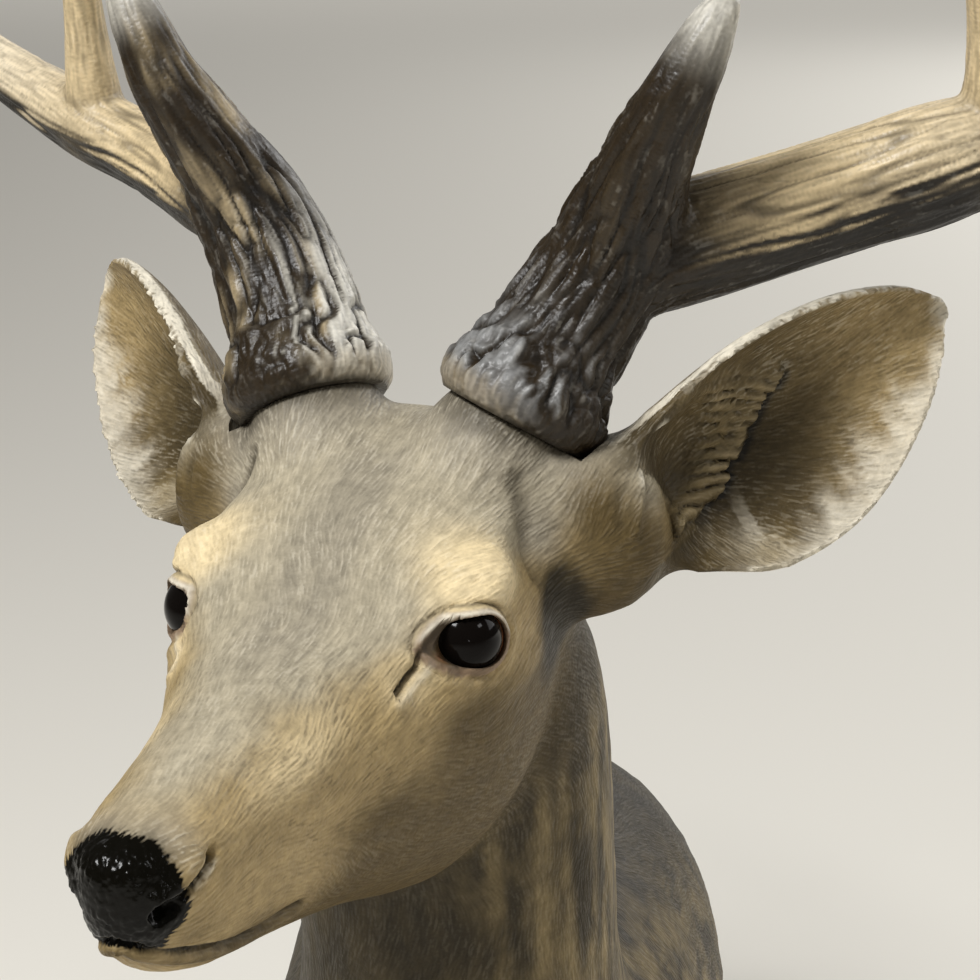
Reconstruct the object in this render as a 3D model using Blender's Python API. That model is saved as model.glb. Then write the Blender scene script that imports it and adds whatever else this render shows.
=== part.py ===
"""Bust of a stag: a hollow-cast painted figure with cast antlers and set eyes.

The head, ears, neck and shoulders are one cast. Each antler is a cast of its own that
seats on a bony stump of the skull, and each eye is a ball set in its socket.
Sizes are in metres, +Z is up, and the chest faces -Y. The underside lies on Z = 0.
"""
import math

import bmesh
import bpy
import numpy as np
from mathutils import Matrix, Vector

# Driving sizes
HEAD_LENGTH = 0.300          # nose pad to the back of the skull
EYE_HEIGHT = 0.440           # middle of the eyes above the flat underside
EYE_BACKSET = 0.255          # middle of the eyes in front of the origin
EYE_OFFSET = 0.022           # middle of the eyes to the stag's right of the origin
HEAD_TURN = math.radians(-15.0)
HEAD_NOD = math.radians(7.3)
EYE_RADIUS = 0.014
LID_THICKNESS = 0.0028
CORONET_RADIUS = 0.0335      # burr at the foot of an antler
SEAT_RADIUS = 0.025          # flat face under the burr, and the stump's top
BEAM_THICKNESS = {"left": 1.0, "right": 0.68}
TINE_LENGTH = {"left": 1.0, "right": 1.12}
JOINT_GAP = 0.0003           # between pieces that meet
SOFT_EDGE = 0.0024           # grain of the cast's surface before it is thinned out
ANTLER_EDGE = 0.0022         # the same for an antler
SHARP_ANGLE = math.radians(50.0)

# Facets kept on each cast
BUST_FACETS = 5300
ANTLER_FACETS = 1250
EYE_FACETS = (18, 10)        # round the ball and from pole to pole

# One millimetre of the head as it was drawn, at a head 300 mm long
UNIT = HEAD_LENGTH / 300.0
SIDES = {"left": 1.0, "right": -1.0}

# Head sections, in units: place along the head, half width, top, height of the widest
# point, bottom, squareness of the upper and of the lower half
HEAD_SECTIONS = (
    (-177.0, 6.0, -8.0, -15.0, -24.0, 2.0, 2.0),
    (-174.0, 11.5, -1.5, -14.0, -32.0, 2.2, 2.0),
    (-166.0, 17.0, 1.5, -13.0, -43.0, 2.3, 2.0),
    (-150.0, 22.5, 4.0, -14.0, -54.0, 2.3, 2.1),
    (-128.0, 27.0, 6.5, -18.0, -63.0, 2.2, 2.1),
    (-100.0, 32.0, 9.5, -21.0, -71.0, 2.1, 2.1),
    (-75.0, 37.5, 13.0, -22.0, -79.0, 2.1, 2.1),
    (-50.0, 46.5, 17.5, -19.0, -88.0, 2.2, 2.1),
    (-25.0, 57.0, 25.0, -12.0, -99.0, 2.7, 2.1),
    (0.0, 64.5, 35.0, -6.0, -110.0, 3.1, 2.1),
    (25.0, 66.0, 44.0, -5.0, -116.0, 2.8, 2.1),
    (50.0, 65.0, 52.0, -6.0, -112.0, 2.4, 2.1),
    (75.0, 61.0, 56.0, -4.0, -92.0, 2.3, 2.0),
    (95.0, 51.0, 51.0, 0.0, -64.0, 2.2, 2.0),
    (112.0, 37.0, 39.0, 2.0, -38.0, 2.0, 2.0),
    (122.0, 14.0, 20.0, 4.0, -12.0, 2.0, 2.0),
)

# Neck: middle of each section from the middle of the eyes (right, back, up) in the
# body's own axes, half width and half depth
NECK_SECTIONS = (
    (18.0, 50.0, 0.0, 54.0, 46.0),
    (25.0, 90.0, -50.0, 66.0, 60.0),
    (27.0, 120.0, -120.0, 68.0, 70.0),
    (28.0, 146.0, -190.0, 69.0, 86.0),
    (25.0, 170.0, -265.0, 82.0, 112.0),
    (26.0, 184.0, -350.0, 96.0, 148.0),
    (28.0, 188.0, -470.0, 98.0, 172.0),
)

# Shoulders and back: place back from the eyes, height of the middle, half width, half height
BODY_SECTIONS = (
    (22.0, -395.0, 34.0, 40.0),
    (34.0, -390.0, 58.0, 74.0),
    (70.0, -378.0, 84.0, 112.0),
    (130.0, -360.0, 100.0, 136.0),
    (220.0, -344.0, 109.0, 150.0),
    (320.0, -336.0, 114.0, 154.0),
    (400.0, -338.0, 116.0, 154.0),
    (448.0, -344.0, 106.0, 140.0),
    (474.0, -352.0, 80.0, 108.0),
    (486.0, -362.0, 36.0, 54.0),
)
BODY_OFFSET = 7.0            # middle of the back to the stag's left of the origin, in units

# Antler centre lines in the head's units: place and radius
BURR_CENTRE = (44.5, 81.0, 62.5)
BURR_AXIS = (0.39, 0.42, 0.82)
BURR_DROP = 11.0             # seat below the burr's middle, in units
# Burr, in metres: height above the seat and how far it stands in from the coronet's rim
BURR_PROFILE = ((0.004, 0.001), (0.009, 0.0), (0.014, 0.001), (0.021, 0.004), (0.031, 0.007))
BURR_FOOT = 0.004            # burr carried on below the seat before it is cut flat
BEAM_START = (0.012, 0.027)  # height above the seat and radius where the brow tine begins
# Bony stump, in units: height from the seat and radius
STUMP_PROFILE = ((-55.0, 40.0), (-30.0, 35.0), (-12.0, 29.5))
STUMP_RISE = 0.004           # stump carried on above the seat before it is cut flat
STRETCH_FROM = 4             # row of the brow tine from which its length is set
BROW_TINE = (
    (52.0, 92.0, 78.0, 27.0),
    (60.0, 100.0, 92.0, 25.5),
    (69.0, 106.0, 108.0, 24.0),
    (77.0, 106.0, 125.0, 21.5),
    (84.5, 102.0, 142.0, 18.0),
    (92.5, 98.0, 158.0, 15.4),
    (100.0, 96.0, 172.0, 13.6),
    (108.5, 98.0, 189.0, 11.0),
    (114.0, 100.5, 200.0, 8.4),
    (118.5, 103.5, 209.0, 4.6),
)
MAIN_BEAM = (
    (70.0, 106.0, 105.0, 21.5),
    (86.0, 119.0, 110.5, 23.0),
    (104.0, 131.0, 114.5, 23.0),
    (127.0, 147.0, 120.0, 22.5),
    (150.0, 160.0, 126.0, 22.5),
    (176.0, 168.0, 134.0, 23.0),
    (205.0, 180.0, 143.0, 20.0),
    (238.0, 190.0, 157.0, 17.0),
    (266.0, 194.0, 180.0, 15.0),
    (284.0, 190.0, 214.0, 13.2),
    (293.0, 180.0, 252.0, 11.0),
    (296.0, 168.0, 288.0, 8.0),
    (296.0, 160.0, 308.0, 4.2),
)
SECOND_TINE = (
    (178.0, 170.0, 136.0, 19.0),
    (178.0, 168.0, 156.0, 16.5),
    (176.0, 164.0, 180.0, 13.0),
    (173.0, 158.0, 205.0, 10.8),
    (170.0, 150.0, 230.0, 8.2),
    (168.0, 144.0, 248.0, 4.2),
)
BEAM_SHIFT = {"left": (0.0, 0.0, 0.0), "right": (0.0, 0.0, 4.0)}
SECOND_TINE_SHIFT = {"left": (26.0, 10.0, 8.0), "right": (-3.0, -1.0, 2.0)}

# Ear rims in the head's units, from the root to the tip: upper rim, lower rim
EAR_UPPER_RIM = (
    (62.0, 66.0, 42.0),
    (92.0, 74.0, 52.0),
    (102.0, 86.0, 63.0),
    (114.0, 102.0, 75.0),
    (133.0, 124.0, 86.0),
    (154.0, 147.0, 91.0),
    (173.0, 169.0, 88.0),
    (184.0, 183.0, 80.0),
)
EAR_LOWER_RIM = (
    (62.0, 62.0, -14.0),
    (97.0, 72.0, -5.0),
    (118.0, 88.0, -6.0),
    (139.0, 107.0, -9.0),
    (162.0, 128.0, 3.0),
    (178.0, 147.0, 27.0),
    (186.0, 166.0, 53.0),
    (186.0, 182.0, 75.0),
)
# Share of the ear's length, depth of the cup and thickness of its wall
EAR_CUP = (
    (0.0, 2.0, 44.0),
    (0.12, 8.0, 34.0),
    (0.25, 24.0, 12.0),
    (0.40, 30.0, 5.8),
    (0.60, 25.0, 5.0),
    (0.80, 15.0, 5.0),
    (0.93, 7.0, 5.0),
    (1.0, 1.5, 4.6),
)
EAR_ROOT = ((72.0, 74.0, 14.0), (31.0, 25.0, 36.0))
# How far each ear's tip is moved from its mirrored place, fading to the root
EAR_SET = {"left": (0.0, 0.0, 0.0), "right": (4.0, 0.0, -8.0)}


def spline(rows, count):
    """Rows of numbers at even steps along a smooth curve through the given rows."""
    rows = np.array(rows, float)
    step = np.linalg.norm(np.diff(rows[:, :min(3, rows.shape[1])], axis=0), axis=1)
    knots = np.concatenate([[0.0], np.cumsum(step)])
    slopes = np.gradient(rows, knots, axis=0)
    places = np.linspace(0.0, knots[-1], count)
    i = np.clip(np.searchsorted(knots, places) - 1, 0, len(rows) - 2)
    span = (knots[i + 1] - knots[i])[:, None]
    t = (places[:, None] - knots[i][:, None]) / span
    near = (1 + 2 * t) * (1 - t) ** 2 * rows[i] + t * (1 - t) ** 2 * span * slopes[i]
    far = t ** 2 * (3 - 2 * t) * rows[i + 1] + t ** 2 * (t - 1) * span * slopes[i + 1]
    return near + far


def head_matrix():
    """Head axes to world: nodded, turned, and lifted to the height of the eyes."""
    place = Matrix.Translation((-EYE_OFFSET, -EYE_BACKSET, EYE_HEIGHT))
    turn = Matrix.Rotation(HEAD_TURN, 4, "Z")
    nod = Matrix.Rotation(HEAD_NOD, 4, "X")
    return place @ turn @ nod @ Matrix.Scale(UNIT, 4)


HEAD = head_matrix()
HEAD_INVERSE = HEAD.inverted()


def to_world(point, side="left"):
    return HEAD @ Vector((point[0] * SIDES[side], point[1], point[2]))


def body_point(right, back, up):
    return Vector((right * UNIT - EYE_OFFSET, back * UNIT - EYE_BACKSET, up * UNIT + EYE_HEIGHT))


def mesh_object(name, bm):
    bmesh.ops.recalc_face_normals(bm, faces=bm.faces)
    mesh = bpy.data.meshes.new(name)
    bm.to_mesh(mesh)
    bm.free()
    obj = bpy.data.objects.new(name, mesh)
    bpy.context.scene.collection.objects.link(obj)
    return obj


def loft(name, rings):
    """Closed skin over a row of rings that hold the same number of points."""
    bm = bmesh.new()
    loops = [[bm.verts.new(point) for point in ring] for ring in rings]
    for low, high in zip(loops, loops[1:]):
        for k in range(len(low)):
            n = (k + 1) % len(low)
            bm.faces.new((low[k], low[n], high[n], high[k]))
    for loop in (loops[0], loops[-1]):
        middle = sum((v.co for v in loop), Vector()) / len(loop)
        tip = bm.verts.new(middle)
        for k in range(len(loop)):
            bm.faces.new((loop[k], loop[(k + 1) % len(loop)], tip))
    return mesh_object(name, bm)


def oval(angle, power):
    """Point of a squared circle: power 2 is round, more is squarer."""
    c, s = math.cos(angle), math.sin(angle)
    return (math.copysign(abs(c) ** (2.0 / power), c), math.copysign(abs(s) ** (2.0 / power), s))


def tube_rings(rows, sides):
    """Rings square to a curve; each row holds a point and a radius, in world sizes."""
    rings = []
    points = [Vector(row[:3]) for row in rows]
    axis = Vector((0.0, -1.0, 0.0))
    for i, row in enumerate(rows):
        ahead = points[min(i + 1, len(points) - 1)] - points[max(i - 1, 0)]
        ahead.normalize()
        across = axis - ahead * axis.dot(ahead)
        across.normalize()
        axis = across
        other = ahead.cross(across)
        ring = []
        for k in range(sides):
            angle = math.tau * k / sides
            ring.append(points[i] + across * row[3] * math.cos(angle)
                        + other * row[3] * math.sin(angle))
        rings.append(ring)
    return rings


def head_solid():
    rings = []
    for y, half, top, middle, bottom, upper, lower in spline(HEAD_SECTIONS, 48):
        ring = []
        for k in range(40):
            angle = math.tau * k / 40
            x, z = oval(angle, upper if angle < math.pi else lower)
            reach = (top - middle) if z > 0 else (middle - bottom)
            ring.append(to_world((x * half, y, middle + z * reach)))
        rings.append(ring)
    return loft("skull", rings)


def neck_solid():
    rows = spline(NECK_SECTIONS, 24)
    rings = []
    for i, (right, back, up, half, depth) in enumerate(rows):
        ahead = rows[min(i + 1, len(rows) - 1)][:3] - rows[max(i - 1, 0)][:3]
        ahead = Vector(ahead).normalized()
        across = Vector((1.0, 0.0, 0.0))
        across = (across - ahead * across.dot(ahead)).normalized()
        front = across.cross(ahead)
        ring = []
        for k in range(36):
            x, y = oval(math.tau * k / 36, 2.1)
            offset = across * x * half + front * y * depth
            ring.append(body_point(right + offset.x, back + offset.y, up + offset.z))
        rings.append(ring)
    return loft("neck", rings)


def body_solid():
    rings = []
    for back, middle, half, height in spline(BODY_SECTIONS, 26):
        ring = []
        for k in range(40):
            x, z = oval(math.tau * k / 40, 2.15)
            across = EYE_OFFSET / UNIT + BODY_OFFSET + x * half
            ring.append(body_point(across, back, middle + z * height))
        rings.append(ring)
    return loft("shoulders", rings)


def ear_solid(side):
    """Cupped leaf: an outer skin and an inner skin between the two rims."""
    count, across = 30, 12
    upper = spline(EAR_UPPER_RIM, count)
    lower = spline(EAR_LOWER_RIM, count)
    shares = np.linspace(0.0, 1.0, count)
    cup = [np.interp(shares, [row[0] for row in EAR_CUP], [row[k] for row in EAR_CUP])
           for k in (1, 2)]
    rings = []
    for i in range(count):
        high, low = Vector(upper[i]), Vector(lower[i])
        middle = (high + low) / 2
        j = min(i + 1, count - 1)
        k = max(i - 1, 0)
        ahead = Vector(upper[j] + lower[j] - upper[k] - lower[k]).normalized()
        wide = (high - low).normalized()
        back = wide.cross(ahead).normalized()
        if back.y < 0:
            back = -back
        half = (high - low).length / 2
        ring = []
        for skin, order in ((1, range(across + 1)), (0, range(across, -1, -1))):
            wall = cup[1][i] * skin
            for n in order:
                angle = math.pi * n / across
                ring.append(middle + wide * math.cos(angle) * half
                            + back * (math.sin(angle) ** 1.25 * cup[0][i] + wall))
        moved = Vector(EAR_SET[side]) * shares[i]
        rings.append([to_world(point + moved, side) for point in ring])
    return loft("ear", rings)


def burr_frame(side):
    """Matrix with its origin on the seat of an antler and +Z along the burr's axis."""
    axis = Vector(BURR_AXIS).normalized()
    seat = Vector(BURR_CENTRE) - axis * BURR_DROP
    start = to_world(seat, side)
    direction = (to_world(seat + axis, side) - start).normalized()
    return Matrix.Translation(start) @ direction.to_track_quat("Z", "Y").to_matrix().to_4x4()


def disc_stack(name, frame, profile, sides):
    """Turned solid round a frame's +Z: profile rows are height and radius."""
    rings = []
    for height, radius in profile:
        rings.append([frame @ Vector((radius * math.cos(math.tau * k / sides),
                                      radius * math.sin(math.tau * k / sides), height))
                      for k in range(sides)])
    return loft(name, rings)


def stump_solid(side):
    frame = burr_frame(side)
    profile = [(height * UNIT, radius * UNIT) for height, radius in STUMP_PROFILE]
    return disc_stack("stump", frame, profile + [(STUMP_RISE, SEAT_RADIUS)], 32)


def lump(name, centre, radii, side):
    """Egg shape in the head's units."""
    bm = bmesh.new()
    bmesh.ops.create_icosphere(bm, subdivisions=4, radius=1.0)
    for v in bm.verts:
        v.co = to_world([c + r * x for c, r, x in zip(centre, radii, v.co)], side)
    return mesh_object(name, bm)


def fuse(name, parts, grain):
    """One closed skin round several overlapping solids."""
    with bpy.context.temp_override(active_object=parts[0], selected_objects=parts,
                                   selected_editable_objects=parts):
        bpy.ops.object.join()
    body = parts[0]
    body.name = name
    remesh = body.modifiers.new("Fuse", "REMESH")
    remesh.mode = "VOXEL"
    remesh.voxel_size = grain
    return bake(body)


def bake(obj):
    """Replace an object's mesh by its evaluated one."""
    graph = bpy.context.evaluated_depsgraph_get()
    mesh = bpy.data.meshes.new_from_object(obj.evaluated_get(graph), depsgraph=graph)
    obj.modifiers.clear()
    obj.data = mesh
    return obj


def points_of(mesh):
    flat = np.empty(len(mesh.vertices) * 3)
    mesh.vertices.foreach_get("co", flat)
    return flat.reshape(-1, 3)


def set_points(mesh, points):
    mesh.vertices.foreach_set("co", points.ravel())
    mesh.update()


def transform(points, matrix):
    m = np.array(matrix)
    return points @ m[:3, :3].T + m[:3, 3]


def normals_of(mesh):
    flat = np.empty(len(mesh.vertices) * 3)
    mesh.vertices.foreach_get("normal", flat)
    return flat.reshape(-1, 3)


def smooth(mesh, points, weight, rounds):
    """Even out a skin where the weight is above nought."""
    edges = np.empty(len(mesh.edges) * 2, dtype=np.int64)
    mesh.edges.foreach_get("vertices", edges)
    edges = edges.reshape(-1, 2)
    degree = np.bincount(edges.ravel(), minlength=len(points)).astype(float)
    for _ in range(rounds):
        total = np.zeros_like(points)
        for axis in range(3):
            total[:, axis] = (np.bincount(edges[:, 0], points[edges[:, 1], axis], len(points))
                              + np.bincount(edges[:, 1], points[edges[:, 0], axis], len(points)))
        points = points + (total / degree[:, None] - points) * 0.5 * weight[:, None]
    return points


def falloff(distance, radius):
    return np.clip(1.0 - (distance / radius) ** 2, 0.0, 1.0) ** 2


def push(points, centre, radius, move):
    """Soft brush: move the points round a centre."""
    distance = np.linalg.norm((points - np.array(centre)) / np.array(radius), axis=1)
    return points + falloff(distance, 1.0)[:, None] * np.array(move)


def groove(points, normals, line, radius, depth):
    """Soft brush drawn along a line, pressed straight into the skin."""
    best = np.full(len(points), 1e9)
    for start, end in zip(line, line[1:]):
        start, end = np.array(start, float), np.array(end, float)
        run = end - start
        t = np.clip((points - start) @ run / (run @ run), 0.0, 1.0)
        best = np.minimum(best, np.linalg.norm(points - start - t[:, None] * run, axis=1))
    return points - falloff(best, radius)[:, None] * normals * depth


# Eye in the head's units: middle of the ball, outward direction, towards the outer corner
EYE_CENTRE = (50.5, -7.5, 4.2)
EYE_OUT = Vector((0.85, -0.50, 0.12)).normalized()
EYE_UP = EYE_OUT.cross(Vector((0.44, 0.87, -0.20))).normalized()
EYE_ALONG = EYE_UP.cross(EYE_OUT)
EYE_OPENING = (19.0, 15.5, 9.5, 9.0)    # reach to the inner and outer corner, above and below
OPENING_DEPTHS = (5.0, 30.0)            # from within the ball to clear of the lids
CORNER_POINT = 0.35                     # nought is a plain oval, more draws the corners out

NOSTRIL = ((13.0, -169.0, -20.5), (17.9, -166.6, -20.0), (20.0, -164.0, -17.6),
           (21.6, -159.6, -14.4), (22.2, -153.7, -11.5), (22.0, -148.5, -9.0))
MOUTH = ((0.0, -175.5, -29.0), (3.8, -174.0, -29.5), (6.8, -168.0, -34.5),
         (11.6, -159.3, -40.0), (14.4, -149.0, -45.3), (16.2, -136.0, -50.6),
         (18.5, -123.1, -53.5), (21.2, -110.3, -54.9), (22.7, -98.0, -56.5))
TEAR_SLIT = ((44.5, -33.0, 8.5), (45.0, -35.0, 6.0), (43.0, -39.5, 2.8), (41.3, -47.5, -0.5))
# Pressed lines, in units: the line, its half width and its depth
PRESSED = ((NOSTRIL, 4.6, 4.5), (MOUTH, 4.0, 2.6), (TEAR_SLIT, 3.6, 1.8))
# Swellings and hollows of the left side, in units: middle, reach and how far it moves
SHAPED = (
    ((63.0, -3.0, 27.0), (19.0, 27.0, 17.0), (9.0, -2.0, 4.0)),        # brow
    ((62.0, 14.0, -15.0), (14.0, 34.0, 11.0), (2.0, 0.0, 0.0)),        # cheekbone
    ((48.0, -40.0, 0.0), (12.0, 16.0, 14.0), (-3.0, 1.0, 0.5)),        # before the eye
    ((64.0, 33.0, 22.0), (16.0, 20.0, 16.0), (-4.0, 0.0, -1.0)),       # temple
    ((36.0, -92.0, -34.0), (14.0, 36.0, 18.0), (-2.0, 0.0, 0.0)),      # side of the muzzle
    ((46.0, 20.0, -58.0), (22.0, 34.0, 26.0), (3.5, 0.0, -1.0)),       # cheek
    ((20.0, -160.0, -8.0), (11.0, 14.0, 12.0), (2.5, -0.5, 0.5)),      # wing of the nose
)
LID_BLEND = 34.0             # reach round the eye where the skin is evened out, in units

# Where forms flow into each other, in the head's units
THROAT_TOP, THROAT_FADE = -75.0, 60.0
NAPE_FRONT, NAPE_FADE = 60.0, 30.0
NAPE_TOP, NAPE_TOP_FADE = 40.0, 20.0
EAR_ROOT_REACH = (44.0, 46.0, 50.0)
EAR_FROM = 108.0             # from here outwards the ear keeps its edges
EAR_BELOW = -60.0            # and above here

# Where facets are kept, in the head's units
MUZZLE_CENTRE, MUZZLE_REACH = (10.0, -160.0, -25.0), (1.0, 1.4, 1.0)
EYE_KEEP, MUZZLE_KEEP, KEEP_FADE = 14.0, 20.0, 40.0
SPARE_LEAST, SPARE_HEAD, SPARE_BODY = 0.15, 0.35, 0.25
SPARE_TOP, SPARE_FADE = -90.0, 100.0


def carve_eye(points):
    """Swell the skin over the ball, so that the lids follow it."""
    local = points - np.array(EYE_CENTRE)
    distance = np.linalg.norm(local, axis=1)
    facing = local @ np.array(EYE_OUT) / np.maximum(distance, 1e-6)
    lid = (EYE_RADIUS + LID_THICKNESS) / UNIT
    lift = np.clip(lid - distance, 0.0, None) * np.clip(facing / 0.3, 0.0, 1.0)
    return points + local / np.maximum(distance, 1e-6)[:, None] * lift[:, None]


def carve_head(points, normals):
    """Brows, cheeks, nostrils, mouth and eyes, in the head's units, both sides alike."""
    for sign in (1.0, -1.0):
        p = points * np.array((sign, 1.0, 1.0))
        n = normals * np.array((sign, 1.0, 1.0))
        mine = (p[:, 0] > -1.0)[:, None]
        q = p
        for centre, radius, move in SHAPED:
            q = push(q, centre, radius, move)
        for line, radius, depth in PRESSED:
            q = groove(q, n, line, radius, depth)
        q = carve_eye(q)
        p = np.where(mine, q, p)
        points = p * np.array((sign, 1.0, 1.0))
    return points


def build_bust():
    parts = [head_solid(), neck_solid(), body_solid()]
    for side in SIDES:
        parts.append(ear_solid(side))
        parts.append(stump_solid(side))
        parts.append(lump("ear root", *EAR_ROOT, side))
    bust = fuse("bust", parts, SOFT_EDGE)
    points = points_of(bust.data)
    local = transform(points, HEAD_INVERSE)
    aside = np.abs(local[:, 0])
    points = smooth(bust.data, points, np.where(aside > EAR_FROM, 0.0, 1.0), 16)
    points = smooth(bust.data, points, blend_share(local), 120)
    set_points(bust.data, points)
    turn = np.array(HEAD_INVERSE.to_3x3()) * UNIT
    local = carve_head(transform(points, HEAD_INVERSE), normals_of(bust.data) @ turn.T)
    eye = np.abs(local) * (1.0, 0.0, 0.0) + local * (0.0, 1.0, 1.0) - np.array(EYE_CENTRE)
    local = smooth(bust.data, local, falloff(np.linalg.norm(eye, axis=1), LID_BLEND), 5)
    set_points(bust.data, transform(local, HEAD))
    group = bust.vertex_groups.new(name="spare")
    for index, share in enumerate(spare_share(local)):
        group.add([index], share, "REPLACE")
    thin = bust.modifiers.new("Facets", "DECIMATE")
    thin.ratio = BUST_FACETS / (2.0 * len(bust.data.polygons))
    thin.vertex_group = "spare"
    thin.vertex_group_factor = 1.0
    bake(bust)
    drop_crumbs(bust)
    cut_flat(bust, Vector((0.0, 0.0, 0.0)), Vector((0.0, 0.0, 1.0)))
    for side in SIDES:
        cut_away(bust, seat_cutter(side))
        cut_away(bust, opening_cutter(side))
        cut_away(bust, socket_cutter(side))
    return bust


def blend_share(local):
    """Where neighbouring forms flow into each other: throat, nape, shoulders, ear roots."""
    aside = np.abs(local[:, 0])
    lower = np.clip((THROAT_TOP - local[:, 2]) / THROAT_FADE, 0.0, 1.0)
    nape = np.clip((local[:, 1] - NAPE_FRONT) / NAPE_FADE, 0.0, 1.0)
    nape = nape * np.clip((NAPE_TOP - local[:, 2]) / NAPE_TOP_FADE, 0.0, 1.0)
    root = np.stack([aside, local[:, 1], local[:, 2]], 1) - np.array(EAR_ROOT[0])
    root = np.clip(2.0 - 2.0 * np.linalg.norm(root / EAR_ROOT_REACH, axis=1), 0.0, 1.0)
    share = np.maximum(np.maximum(lower, nape), root)
    return np.where((aside > EAR_FROM) & (local[:, 2] > EAR_BELOW), 0.0, share)


def spare_share(local):
    """How freely facets are taken from a place: least round the eyes, nose and mouth."""
    mirrored = np.stack([np.abs(local[:, 0]), local[:, 1], local[:, 2]], 1)
    eye = np.linalg.norm(mirrored - np.array(EYE_CENTRE), axis=1)
    muzzle = np.linalg.norm((mirrored - np.array(MUZZLE_CENTRE)) / MUZZLE_REACH, axis=1)
    near = np.minimum(eye - EYE_KEEP, muzzle - MUZZLE_KEEP)
    share = SPARE_LEAST + SPARE_HEAD * np.clip(near / KEEP_FADE, 0.0, 1.0)
    return share + np.clip((SPARE_TOP - local[:, 2]) / SPARE_FADE, 0.0, 1.0) * SPARE_BODY


def drop_crumbs(obj):
    """Keep the largest closed body alone."""
    bm = bmesh.new()
    bm.from_mesh(obj.data)
    left = set(bm.verts)
    bodies = []
    while left:
        body = [left.pop()]
        for vert in body:
            for edge in vert.link_edges:
                other = edge.other_vert(vert)
                if other in left:
                    left.remove(other)
                    body.append(other)
        bodies.append(body)
    bodies.sort(key=len)
    bmesh.ops.delete(bm, geom=[vert for body in bodies[:-1] for vert in body], context="VERTS")
    bm.to_mesh(obj.data)
    bm.free()


def cut_flat(obj, point, normal):
    """Take off what lies behind a plane, and close the cut."""
    bm = bmesh.new()
    bm.from_mesh(obj.data)
    everything = list(bm.verts) + list(bm.edges) + list(bm.faces)
    cut = bmesh.ops.bisect_plane(bm, geom=everything, dist=1e-6, plane_co=point,
                                 plane_no=normal, clear_inner=True)
    edges = [e for e in cut["geom_cut"] if isinstance(e, bmesh.types.BMEdge)]
    bmesh.ops.contextual_create(bm, geom=edges)
    bmesh.ops.triangulate(bm, faces=bm.faces)
    bmesh.ops.recalc_face_normals(bm, faces=bm.faces)
    bm.to_mesh(obj.data)
    bm.free()


def cut_away(obj, cutter):
    cutter.hide_render = True
    cutter.display_type = "WIRE"
    cut = obj.modifiers.new("Cut", "BOOLEAN")
    cut.operation = "DIFFERENCE"
    cut.solver = "EXACT"
    cut.object = cutter
    bake(obj)
    bpy.data.objects.remove(cutter)


def seat_cutter(side):
    """Drum over the seat: a little wider than the coronet, and as high as it is wide."""
    reach = CORONET_RADIUS * 1.06
    return disc_stack("seat cutter", burr_frame(side), ((0.0, reach), (1.5 * reach, reach)), 40)


def ball(name, side, radius, around, up):
    """Ball with its poles on the eye's outward axis."""
    bm = bmesh.new()
    bmesh.ops.create_uvsphere(bm, u_segments=around, v_segments=up, radius=radius)
    middle = to_world(EYE_CENTRE, side)
    out = (to_world(Vector(EYE_CENTRE) + EYE_OUT, side) - middle).normalized()
    turn = out.to_track_quat("Z", "Y").to_matrix().to_4x4()
    bmesh.ops.transform(bm, matrix=Matrix.Translation(middle) @ turn, verts=bm.verts)
    return mesh_object(name, bm)


def opening_cutter(side):
    """Almond prism that opens the lids."""
    inner, outer, above, below = EYE_OPENING
    rings = []
    for depth in OPENING_DEPTHS:
        ring = []
        for k in range(28):
            angle = math.tau * k / 28
            along, up = math.cos(angle), math.sin(angle)
            reach = along * (outer if along > 0 else inner)
            rise = up * (above if up > 0 else below) * abs(up) ** CORNER_POINT
            point = Vector(EYE_CENTRE) + EYE_OUT * depth + EYE_ALONG * reach + EYE_UP * rise
            ring.append(to_world(point, side))
        rings.append(ring)
    return loft("opening cutter", rings)


def socket_cutter(side):
    return ball("socket cutter", side, EYE_RADIUS + JOINT_GAP, *EYE_FACETS)


def shifted(rows, shift):
    """The same centre line, moved aside; the radii stay."""
    return [(x + shift[0], y + shift[1], z + shift[2], radius) for x, y, z, radius in rows]


def world_rows(rows, side, thickness=1.0):
    out = []
    for x, y, z, radius in rows:
        point = to_world((x, y, z), side)
        out.append((point.x, point.y, point.z, radius * thickness * UNIT))
    return out


def build_antler(side):
    frame = burr_frame(side)
    profile = [(-BURR_FOOT, SEAT_RADIUS)]
    profile += [(height, CORONET_RADIUS - inset) for height, inset in BURR_PROFILE]
    burr = disc_stack("burr", frame, profile, 36)
    root = frame @ Vector((0.0, 0.0, BEAM_START[0]))
    start = [(root.x, root.y, root.z, BEAM_START[1])]
    stretched = [np.array(row) for row in BROW_TINE]
    for row in stretched[STRETCH_FROM + 1:]:
        row[:3] += (row[:3] - stretched[STRETCH_FROM][:3]) * (TINE_LENGTH[side] - 1.0)
    tine = loft("brow tine", tube_rings(spline(start + world_rows(stretched, side), 30), 24))
    thick = BEAM_THICKNESS[side]
    main = shifted(MAIN_BEAM, BEAM_SHIFT[side])
    beam = loft("beam", tube_rings(spline(world_rows(main, side, thick), 44), 24))
    upper = shifted(SECOND_TINE, SECOND_TINE_SHIFT[side])
    second = loft("second tine", tube_rings(spline(world_rows(upper, side, thick), 18), 20))
    antler = fuse("antler_" + side, [burr, tine, beam, second], ANTLER_EDGE)
    points = points_of(antler.data)
    points = smooth(antler.data, points, np.ones(len(points)), 6)
    set_points(antler.data, points)
    thin = antler.modifiers.new("Facets", "DECIMATE")
    thin.ratio = ANTLER_FACETS / (2.0 * len(antler.data.polygons))
    bake(antler)
    drop_crumbs(antler)
    seat = frame @ Vector((0.0, 0.0, JOINT_GAP))
    cut_flat(antler, seat, frame.to_3x3() @ Vector((0.0, 0.0, 1.0)))
    return antler


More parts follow.
